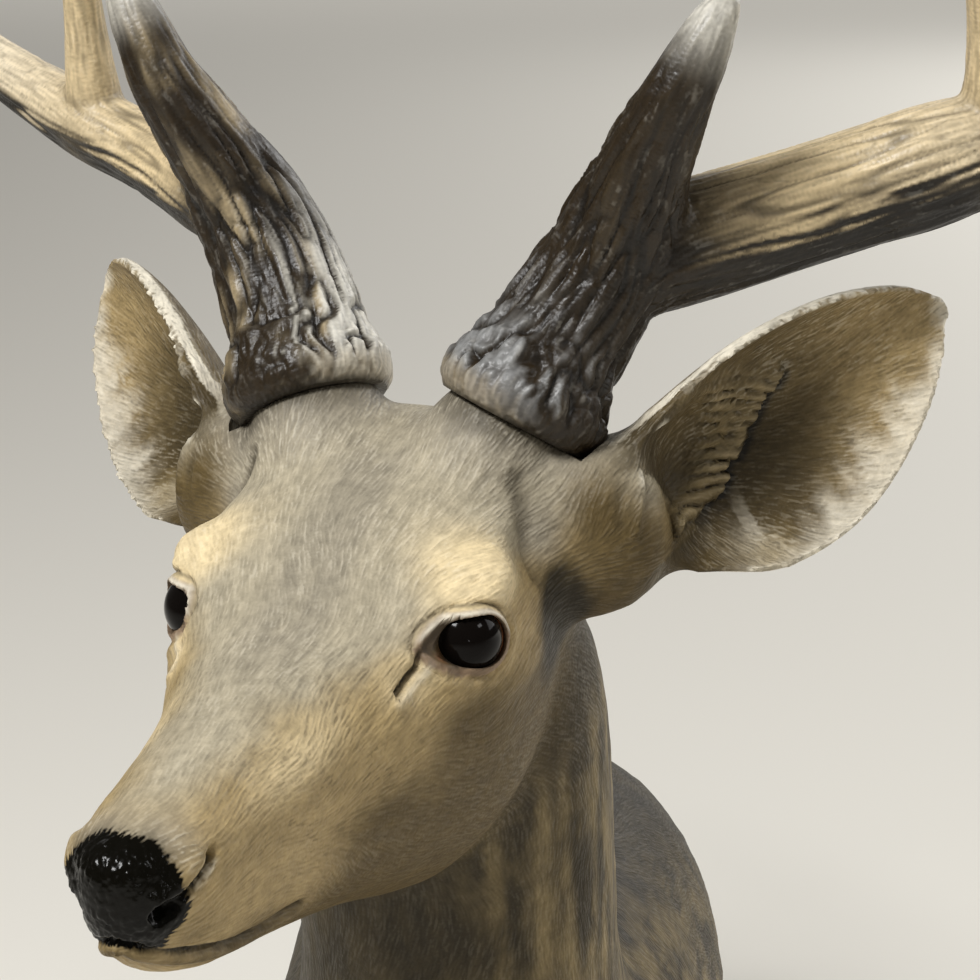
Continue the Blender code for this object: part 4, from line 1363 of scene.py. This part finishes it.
def thin_body(obj, local):
    """Take facets from the neck, the shoulders and the back of the head alone."""
    side = mirrored(local)
    face = (side[:, 2] - side[:, 1] * 0.45 > -112.0) & (side[:, 1] < 96.0)
    ears = (side[:, 0] > 76.0) & (side[:, 2] > -40.0)
    group = obj.vertex_groups.new(name="thin")
    keep = face | ears
    group.add([int(i) for i in np.flatnonzero(~keep)], 1.0, "REPLACE")
    kept = float(keep.mean())
    total = len(obj.data.polygons) * 2
    thin = obj.modifiers.new("Thin", "DECIMATE")
    thin.ratio = min(1.0, kept + PLAIN_TRIANGLES / total)
    thin.vertex_group = "thin"
    thin.vertex_group_factor = 0.0
    bake(obj)
    obj.vertex_groups.clear()


def ball(name, side, radius, around, up):
    """Ball with its poles on the eye's outward axis."""
    bm = bmesh.new()
    bmesh.ops.create_uvsphere(bm, u_segments=around, v_segments=up, radius=radius)
    middle = to_world(EYE_CENTRE, side)
    out = (to_world(Vector(EYE_CENTRE) + EYE_OUT, side) - middle).normalized()
    turn = out.to_track_quat("Z", "Y").to_matrix().to_4x4()
    bmesh.ops.transform(bm, matrix=Matrix.Translation(middle) @ turn, verts=bm.verts)
    return mesh_object(name, bm)


def opening_cutter(side):
    """Almond prism that opens the lids."""
    rings = []
    for depth, inner in OPENING_STEPS:
        rings.append([to_world(Vector(EYE_CENTRE) + EYE_OUT * depth + EYE_ALONG * a + EYE_UP * u, side)
                      for a, u in almond(72, inner)])
    return loft("opening cutter", rings)


def build_eye(side):
    """Glossy ball with a clear dome, a dark iris and a reddish corner."""
    form = bpy.context.scene.stag_form
    eye = ball("stag_eye_" + side, side, form.eye_radius, 64, 48)
    middle = np.array(to_world(EYE_CENTRE, side))
    gaze = np.array((to_world(Vector(EYE_CENTRE) + GAZE, side) - Vector(middle)).normalized())
    points = points_of(eye.data)
    away = points - middle
    angle = np.arccos(np.clip(away @ gaze / np.linalg.norm(away, axis=1), -1.0, 1.0))
    dome = falloff(angle, math.radians(DOME_ANGLE)) * DOME_RISE
    points = middle + away * (1.0 + dome / form.eye_radius)[:, None]
    set_points(eye.data, points)
    aside = np.linalg.norm(np.cross(away, gaze), axis=1)
    store(eye.data, "gaze", "FLOAT_VECTOR", np.stack([away @ gaze, aside, away[:, 2]], 1) / form.eye_radius)
    return eye


def shifted(rows, shift):
    """The same centre line, moved aside; the radii stay."""
    return [(x + shift[0], y + shift[1], z + shift[2], radius) for x, y, z, radius in rows]


def world_rows(rows, side, thickness=1.0):
    unit = head_unit()
    out = []
    for x, y, z, radius in rows:
        point = to_world((x, y, z), side)
        out.append((point.x, point.y, point.z, radius * thickness * unit))
    return out


def antler_curves(side):
    """Centre lines of the brow tine, the main beam and the second tine, in world sizes."""
    root = burr_frame(side) @ Vector((0.0, 0.0, BEAM_START[0]))
    start = [(root.x, root.y, root.z, BEAM_START[1])]
    stretched = [np.array(row, float) for row in BROW_TINE]
    for row in stretched[STRETCH_FROM + 1:]:
        row[:3] += (row[:3] - stretched[STRETCH_FROM][:3]) * (TINE_LENGTH[side] - 1.0)
    thick = BEAM_THICKNESS[side]
    main = shifted(MAIN_BEAM, BEAM_SHIFT[side])
    upper = shifted(SECOND_TINE, SECOND_TINE_SHIFT[side])
    return (spline(start + world_rows(stretched, side), 60),
            spline(world_rows(main, side, thick), 90),
            spline(world_rows(upper, side, thick), 40))


def curve_places(points, rows):
    """For each point: distance in radii, place across and along a curve, share and direction."""
    frames = curve_frames(rows)
    middles = np.array([f[0] for f in frames])
    ahead = np.array([f[1] for f in frames])
    across = np.array([f[2] for f in frames])
    other = np.array([f[3] for f in frames])
    run = np.concatenate([[0.0], np.cumsum(np.linalg.norm(np.diff(middles, axis=0), axis=1))])
    gap = np.linalg.norm(points[:, None, :] - middles[None, :, :], axis=2) / rows[None, :, 3]
    i = gap.argmin(axis=1)
    away = points - middles[i]
    length = run[i] + np.sum(away * ahead[i], axis=1)
    place = np.stack([np.sum(away * across[i], axis=1), np.sum(away * other[i], axis=1), length], 1)
    return gap[np.arange(len(gap)), i], place, length / run[-1], ahead[i]


def build_antler(side):
    """One antler: burr, brow tine, main beam and second tine, grooved and beaded."""
    form = bpy.context.scene.stag_form
    paint = bpy.context.scene.stag_paint
    axes = burr_frame(side)
    profile = [(-BURR_FOOT, form.seat_radius)]
    profile += [(height, form.coronet_radius - inset) for height, inset in BURR_PROFILE]
    burr = disc_stack("burr", axes, profile, 64)
    curves = antler_curves(side)
    parts = [burr] + [loft("tine", tube_rings(rows, 36)) for rows in curves]
    antler = fuse("stag_antler_" + side, parts, form.horn_grain)
    points = points_of(antler.data)
    points = smooth(antler.data, points, np.ones(len(points)), HORN_ROUNDS)
    set_points(antler.data, points)
    cut_flat(antler, axes @ Vector((0.0, 0.0, form.joint_gap)), axes.to_3x3() @ Vector((0.0, 0.0, 1.0)))
    points = points_of(antler.data)
    normals = normals_of(antler.data)
    foot = transform(points, axes.inverted())
    low = 1.0 - ease(foot[:, 2], 0.018, 0.060)
    found = [curve_places(points, rows) for rows in curves]
    gaps = np.stack([f[0] for f in found])
    weight = np.exp(-7.0 * (gaps - gaps.min(axis=0)))
    weight /= weight.sum(axis=0)
    height = np.zeros(len(points))
    crevice_shade = np.zeros(len(points))
    flow = np.zeros_like(points)
    tip = np.zeros(len(points))
    for index, (_, place, share, ahead) in enumerate(found):
        width, length, depth = HORN_RIDGES[index]
        mm = place * 1000.0
        bend = [soft_noise(mm * (1.0, 1.0, 0.3), 12.0, 40 + index + k) for k in range(3)]
        mm = mm + np.stack(bend, 1) * 2.4
        stretch = np.array((1.0, 1.0, width / length))
        main = np.abs(soft_noise(mm * stretch, width, 43 + index))
        fine = np.abs(soft_noise(mm * stretch * (1.0, 1.0, 1.6), width * 0.5, 49 + index))
        fade = 1.0 - 0.85 * ease(share, 0.45, 0.95)
        ridge = (ease(main, 0.0, 0.42) - 0.6) + (ease(fine, 0.0, 0.45) - 0.6) * 0.4
        height += weight[index] * ridge * depth * fade
        crack = np.maximum(1.0 - ease(main, 0.02, 0.15), 0.6 * (1.0 - ease(fine, 0.0, 0.10)))
        crevice_shade += weight[index] * crack * fade * min(1.0, depth)
        flow += weight[index][:, None] * ahead
        tip += weight[index] * ease(share, *HORN_TIPS[index])
    drop = foot * 1000.0
    drop = drop + np.stack([soft_noise(drop, 11.0, 70 + k) for k in range(3)], 1) * 3.5
    drop[:, 2] += drop[:, 0] * 0.5
    first = np.abs(soft_noise(drop * (1.0, 1.0, 0.5), 8.5, 60))
    second = np.abs(soft_noise(drop * (1.0, 1.0, 0.5), 5.0, 63))
    fold = ease(first, 0.0, 0.42) - 0.6 + (ease(second, 0.0, 0.4) - 0.6) * 0.4
    height = height * (1.0 - 0.65 * low) + (fold * 2.3 + soft_noise(drop, 3.2, 61) * 0.2) * low
    collar = 1.0 - ease(foot[:, 2], 0.007, 0.015)
    height = height * (1.0 - 0.75 * collar)
    flat = ease(foot[:, 2], form.joint_gap + 0.0002, form.joint_gap + 0.002)
    height = np.where(foot[:, 2] < 0.01, height * flat, height)
    points = points + normals * (height * 0.001)[:, None]
    set_points(antler.data, points)
    normals = normals_of(antler.data)
    # Painted shade in the grooves between the burr's folds.
    fold_shade = low * (1.0 - ease(first, 0.02, 0.16)) * (1.0 - collar)
    crevice_shade = np.clip(crevice_shade * (1.0 - low) + fold_shade, 0.0, 1.0)
    coats = Coats(paint.horn, len(points))
    coat = coats.lay
    up = normals[:, 2]
    beam = weight[1] * ease(found[1][2], 0.05, 0.20)
    patch = soft_noise(points * 1000.0, 14.0, 62)
    streak = soft_noise(found[0][1] * 1000.0 * (1.0, 1.0, 0.25), 7.0, 66)
    proud = np.clip(height * 0.5 + 0.45, 0.0, 1.0)
    # The beams' upward faces are tan, greyer farther out: partly the horn's colour, partly a painted
    # highlight; their undersides are darkened as painted shade.
    top = ease(up + patch * 0.15, -0.35, 0.15)
    coat(paint.horn_tan, beam * top * 0.97)
    coat(paint.horn_grey, beam * top * ease(found[1][2], 0.2, 0.7) * 0.6)
    coat(paint.horn_dark, beam * (1.0 - ease(up + patch * 0.15, -0.5, -0.1)) * 0.9)
    coat(paint.horn_tan, weight[2] * 0.95)
    tan, ridge_sheen, burr_sheen = TAN_AND_SHEEN[side]
    # Faces turned towards the head's middle; the grey laid on the brow tine's proud ridges there is a
    # painted highlight, while its tan streaks are colour.
    inner = ease(-normals[:, 0] * SIDES[side] + patch * 0.3, -0.1, 0.7)
    coat(paint.horn_tan, weight[0] * proud * ease(streak + patch * 0.3, -0.2, 0.7) * tan)
    coat(paint.horn_grey, weight[0] * proud * (1.0 - ease(found[0][2], 0.15, 0.5)) * inner * ridge_sheen)
    # Painted sheen on the burr's folds, on the faces turned towards the light.
    sheen = ease(inner + up * 0.4, 0.25, 0.9)
    if side == "left":
        sheen = ease(normals @ np.array((-0.6, -0.7, 0.4)) + patch * 0.25, 0.25, 0.9)
    coat(paint.slate if side == "left" else paint.horn_grey, low * proud * sheen * burr_sheen)
    coat(paint.horn_tan, collar * inner * 0.25)
    coat(paint.horn_grey, tip * (0.8 + 0.2 * ease(patch, -0.4, 0.3)))
    # Painted shade in the crevices between the ridges and in the folds of the burr.
    coat(paint.horn_dark, crevice_shade * (0.95 - 0.35 * beam) * (1.0 - 0.5 * weight[2]))
    # Painted shadow on the burr's foot just above its seat.
    coat(paint.horn_dark, (1.0 - ease(foot[:, 2], 0.0, 0.003)) * 0.8)
    store(antler.data, "paint", "FLOAT_COLOR", coats.colour)
    store(antler.data, "hair", "FLOAT_VECTOR", unit_rows(flow))
    return antler


class Shade:
    """A material's nodes, with short ways to add and join them."""

    def __init__(self, name):
        self.material = bpy.data.materials.new(name)
        self.material.use_nodes = True
        self.tree = self.material.node_tree
        self.shader = self.tree.nodes["Principled BSDF"]

    def add(self, kind, settings=None, **inputs):
        node = self.tree.nodes.new("ShaderNode" + kind)
        for key, value in (settings or {}).items():
            setattr(node, key, value)
        for key, value in inputs.items():
            by_number = key[0] == "i" and key[1:].isdigit()
            self.feed(node.inputs[int(key[1:]) if by_number else key], value)
        return node

    def feed(self, socket, value):
        if isinstance(value, bpy.types.NodeSocket):
            self.tree.links.new(value, socket)
        else:
            socket.default_value = value

    def math(self, operation, first, second=0.0, clamp=False):
        return self.add("Math", {"operation": operation, "use_clamp": clamp}, i0=first, i1=second).outputs[0]

    def times(self, first, second):
        return self.math("MULTIPLY", first, second)

    def plus(self, first, second):
        return self.math("ADD", first, second)

    def finish(self, name, value):
        self.feed(self.shader.inputs[name], value)

    def vector(self, operation, first, second):
        return self.add("VectorMath", {"operation": operation}, i0=first, i1=second).outputs[0]

    def scaled(self, vector, factor):
        return self.add("VectorMath", {"operation": "SCALE"}, i0=vector, Scale=factor).outputs[0]

    def spread(self, value, low, high, to_low=0.0, to_high=1.0):
        node = self.add("MapRange", {"clamp": True}, i0=value, i1=low, i2=high, i3=to_low, i4=to_high)
        return node.outputs[0]

    def mix(self, share, first, second, blend="MIX"):
        node = self.add("Mix", {"data_type": "RGBA", "blend_type": blend, "clamp_factor": True})
        self.feed(node.inputs[0], share)
        self.feed(node.inputs[6], first)
        self.feed(node.inputs[7], second)
        return node.outputs[2]

    def grey(self, colour, tone):
        """A colour made lighter or darker by a tone."""
        tint = self.add("CombineColor", None, Red=tone, Green=tone, Blue=tone).outputs[0]
        return self.mix(1.0, colour, tint, "MULTIPLY")

    def noise(self, vector, scale, detail=0.0, roughness=0.5):
        node = self.add("TexNoise", None, Vector=vector, Scale=scale, Detail=detail, Roughness=roughness)
        return node.outputs["Fac"]

    def attribute(self, name, output):
        return self.add("Attribute", {"attribute_name": name}).outputs[output]

    def place(self):
        return self.add("TexCoord").outputs["Object"]

    def drawn(self, place, flow, scale, step, taps):
        """Noise drawn out along the hair: the mean of several samples along its direction."""
        total = None
        for k in range(taps):
            shifted = self.vector("ADD", place, self.scaled(flow, step * (k - (taps - 1) / 2)))
            value = self.noise(shifted, scale)
            total = value if total is None else self.plus(total, value)
        return self.math("DIVIDE", total, float(taps))


def rgb(value):
    return (value[0], value[1], value[2], 1.0)


def coat_material():
    """Satin paint over engraved hair, with pale tips, dark flecks and a wet nose."""
    form = bpy.context.scene.stag_form
    paint = bpy.context.scene.stag_paint
    shade = Shade("painted_coat")
    place = shade.place()
    flow = shade.attribute("hair", "Vector")
    base = shade.attribute("paint", "Color")
    wet = shade.attribute("wet", "Fac")
    bare = shade.attribute("bare", "Fac")
    frost = shade.attribute("frost", "Fac")
    flecks = shade.attribute("flecks", "Fac")
    strokes = shade.spread(shade.drawn(place, flow, 900.0, 0.0007, 6), 0.38, 0.62)
    tufts = shade.spread(shade.drawn(place, flow, 260.0, 0.003, 5), 0.38, 0.62)
    patches = shade.spread(shade.noise(place, 60.0, 3.0), 0.35, 0.65)
    hairy = shade.math("SUBTRACT", 1.0, bare, True)
    fine = shade.spread(strokes, 0.0, 1.0, 0.88, 1.07)
    broad = shade.spread(tufts, 0.0, 1.0, 0.90, 1.08)
    mottle = shade.spread(shade.noise(place, 170.0, 4.0, 0.6), 0.34, 0.66, 0.86, 1.10)
    toned = shade.grey(base, shade.times(shade.times(fine, broad), mottle))
    pale = shade.times(shade.spread(strokes, 0.55, 0.95), shade.times(frost, hairy))
    pale = shade.times(pale, shade.spread(patches, 0.2, 0.9, 0.05, 0.30))
    toned = shade.mix(pale, toned, rgb(paint.rim))
    fleck = shade.times(shade.spread(strokes, 0.30, 0.04), shade.spread(patches, 0.25, 0.75, 0.30, 1.0))
    fleck = shade.times(fleck, shade.times(flecks, hairy))
    colour = shade.mix(shade.times(fleck, FLECK_STRENGTH), toned, rgb(paint.dark))
    wet = shade.plus(shade.times(wet, 1.8), shade.spread(strokes, 0.0, 1.0, 0.02, -0.82))
    wet = shade.spread(wet, 0.25, 0.75)
    colour = shade.mix(wet, colour, rgb(paint.nose))
    shade.finish("Base Color", colour)
    shade.finish("Specular IOR Level", shade.spread(wet, 0.0, 1.0, 0.24, 0.14))
    rough = shade.spread(strokes, 0.0, 1.0, 0.62, 0.46)
    rough = shade.add("Mix", {"data_type": "FLOAT"}, i0=wet, i2=rough, i3=0.20).outputs[0]
    shade.finish("Roughness", rough)
    pebbles = shade.add("TexVoronoi", {"feature": "SMOOTH_F1"}, Vector=place, Scale=620.0, Smoothness=0.6)
    relief = shade.plus(shade.times(strokes, 0.6), shade.times(tufts, 0.5))
    relief = shade.times(relief, hairy)
    damp = shade.times(shade.times(pebbles.outputs["Distance"], wet), 0.35)
    bump = shade.add("Bump", None, Strength=0.8, Distance=form.hair_depth,
                     Height=shade.math("SUBTRACT", relief, damp))
    shade.finish("Normal", bump.outputs[0])
    return shade.material


def horn_material():
    """Semi-gloss horn with long grain and small painted glints."""
    paint = bpy.context.scene.stag_paint
    shade = Shade("painted_horn")
    place = shade.place()
    flow = shade.attribute("hair", "Vector")
    base = shade.attribute("paint", "Color")
    grain = shade.spread(shade.drawn(place, flow, 520.0, 0.0018, 6), 0.40, 0.60)
    broad = shade.spread(shade.noise(place, 140.0, 3.0), 0.36, 0.64)
    tone = shade.spread(grain, 0.0, 1.0, 0.74, 1.16)
    colour = shade.grey(base, tone)
    # Painted glints: small pale specks where the broad noise and the grain are both high.
    painted_glints = shade.times(shade.spread(broad, 0.62, 1.0), shade.spread(grain, 0.5, 0.9))
    colour = shade.mix(shade.times(painted_glints, 0.10), colour, rgb(paint.horn_grey))
    shade.finish("Base Color", colour)
    shade.finish("Roughness", shade.spread(broad, 0.0, 1.0, 0.36, 0.50))
    shade.finish("Specular IOR Level", 0.34)
    relief = shade.plus(shade.times(grain, 0.5), shade.times(broad, 0.7))
    bump = shade.add("Bump", None, Strength=0.7, Distance=0.0006, Height=relief)
    shade.finish("Normal", bump.outputs[0])
    return shade.material


def eye_material():
    """Near-black iris in a reddish ball under a clear coat."""
    paint = bpy.context.scene.stag_paint
    shade = Shade("eye_glass")
    split = shade.add("SeparateXYZ", None, Vector=shade.attribute("gaze", "Vector"))
    away = shade.math("ARCTAN2", split.outputs[1], split.outputs[0])
    streaks = shade.noise(shade.place(), 900.0, 2.0)
    edge = shade.plus(away, shade.spread(streaks, 0.0, 1.0, -0.03, 0.03))
    white = shade.spread(edge, 0.98, 1.06)
    ring = shade.times(shade.spread(edge, 0.78, 0.94), shade.spread(streaks, 0.35, 0.7, 0.3, 1.0))
    iris = shade.mix(shade.times(ring, 0.16), rgb(paint.iris), rgb(IRIS_RING))
    shade.finish("Base Color", shade.mix(white, iris, rgb(paint.amber)))
    shade.finish("Roughness", 0.12)
    shade.finish("Specular IOR Level", 0.04)
    shade.finish("Coat Weight", 0.8)
    shade.finish("Coat Roughness", 0.04)
    shade.finish("Coat IOR", 1.16)
    return shade.material


def dress(obj, material, node):
    """Give a piece its finish, and let it stand for its CAD node."""
    obj.data.materials.clear()
    obj.data.materials.append(material)
    obj.data.shade_smooth()
    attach(obj, "root")
    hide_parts(node)


class STAG_OT_bust(bpy.types.Operator):
    """Build the painted head, ears, neck and shoulders"""

    bl_idname = "stag.bust"
    bl_label = "Bust"

    def execute(self, context):
        bust = build_bust()
        dress(bust, coat_material(), "bust")
        bust.data.set_sharp_from_angle(angle=math.radians(SHARP_ANGLE))
        return {"FINISHED"}


class STAG_OT_antlers(bpy.types.Operator):
    """Build the two antlers"""

    bl_idname = "stag.antlers"
    bl_label = "Antlers"

    def execute(self, context):
        horn = horn_material()
        for side in SIDES:
            dress(build_antler(side), horn, "antler_" + side)
        return {"FINISHED"}


class STAG_OT_eyes(bpy.types.Operator):
    """Build the two eyes"""

    bl_idname = "stag.eyes"
    bl_label = "Eyes"

    def execute(self, context):
        glass = eye_material()
        for side in SIDES:
            dress(build_eye(side), glass, "eye_" + side)
        return {"FINISHED"}


def area_light(name, place, target, size, power):
    light = bpy.data.lights.new(name, "AREA")
    light.shape = "RECTANGLE"
    light.size, light.size_y = size
    light.energy = power
    obj = bpy.data.objects.new(name, light)
    obj.location = place
    obj.rotation_euler = (Vector(target) - Vector(place)).to_track_quat("-Z", "Y").to_euler()
    bpy.context.scene.collection.objects.link(obj)


class STAG_OT_studio(bpy.types.Operator):
    """Build the floor, the lights and the camera"""

    bl_idname = "stag.studio"
    bl_label = "Studio"

    def execute(self, context):
        studio = context.scene.stag_studio
        form = context.scene.stag_form
        bm = bmesh.new()
        bmesh.ops.create_circle(bm, cap_ends=True, segments=128, radius=FLOOR_RADIUS)
        floor = mesh_object("studio_floor", bm)
        floor.location.z = -FLOOR_DEPTH
        shade = Shade("studio_floor")
        shade.finish("Base Color", rgb(context.scene.stag_paint.floor))
        shade.finish("Roughness", 0.8)
        floor.data.materials.append(shade.material)
        head = Vector((-form.eye_offset, -form.eye_backset, form.eye_height))
        area_light("key", (-0.88, -1.36, 2.13), head, (0.7, 0.5), studio.key)
        area_light("back", (6.4, 5.0, 3.2), (6.4, 5.0, 0.0), (8.5, 9.0), studio.wall)
        area_light("far", (8.0, 30.0, 8.0), (8.0, 30.0, 0.0), (40.0, 40.0), studio.far)
        area_light("fill", (1.67, -0.89, 1.86), head, (0.5, 0.3), studio.key * FILL_SHARE)
        area_light("spark", (0.60, -1.95, 0.60), head, (0.06, 0.06), SPARK_POWER)
        world = context.scene.world or bpy.data.worlds.new("World")
        context.scene.world = world
        world.use_nodes = True
        sky = world.node_tree.nodes["Background"]
        sky.inputs["Color"].default_value = SKY_TINT
        sky.inputs["Strength"].default_value = studio.sky
        back = Vector(CAMERA_BACK).normalized()
        right = Vector(CAMERA_RIGHT).normalized()
        up = back.cross(right)
        camera = bpy.data.cameras.new("camera")
        camera.lens = studio.focal
        camera.sensor_width = 36.0
        view = bpy.data.objects.new("camera", camera)
        aside, above, away = CAMERA_PLACE
        place = Matrix.Translation(head + right * aside + up * above + back * away)
        view.matrix_world = place @ Matrix((right, up, back)).transposed().to_4x4()
        context.scene.collection.objects.link(view)
        context.scene.camera = view
        context.scene.view_settings.view_transform = "Standard"
        return {"FINISHED"}


class STAG_PT_panel(bpy.types.Panel):
    """Sizes, colours and steps of the stag bust"""

    bl_idname = "STAG_PT_panel"
    bl_label = "Stag bust"
    bl_space_type = "VIEW_3D"
    bl_region_type = "UI"
    bl_category = "Stag"

    def draw(self, context):
        scene = context.scene
        for group in (scene.stag_form, scene.stag_paint, scene.stag_studio):
            for name in group.__annotations__:
                self.layout.prop(group, name)
        for operator in (STAG_OT_bust, STAG_OT_antlers, STAG_OT_eyes, STAG_OT_studio):
            self.layout.operator(operator.bl_idname)


CLASSES = (StagForm, StagPaint, StagStudio, STAG_OT_bust, STAG_OT_antlers, STAG_OT_eyes,
           STAG_OT_studio, STAG_PT_panel)


def register():
    for item in CLASSES:
        bpy.utils.register_class(item)
    bpy.types.Scene.stag_form = bpy.props.PointerProperty(type=StagForm)
    bpy.types.Scene.stag_paint = bpy.props.PointerProperty(type=StagPaint)
    bpy.types.Scene.stag_studio = bpy.props.PointerProperty(type=StagStudio)


def unregister():
    del bpy.types.Scene.stag_studio
    del bpy.types.Scene.stag_paint
    del bpy.types.Scene.stag_form
    for item in reversed(CLASSES):
        bpy.utils.unregister_class(item)


def main():
    register()
    bpy.ops.stag.bust()
    bpy.ops.stag.antlers()
    bpy.ops.stag.eyes()
    bpy.ops.stag.studio()
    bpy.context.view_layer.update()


if __name__ == "__main__":
    main()
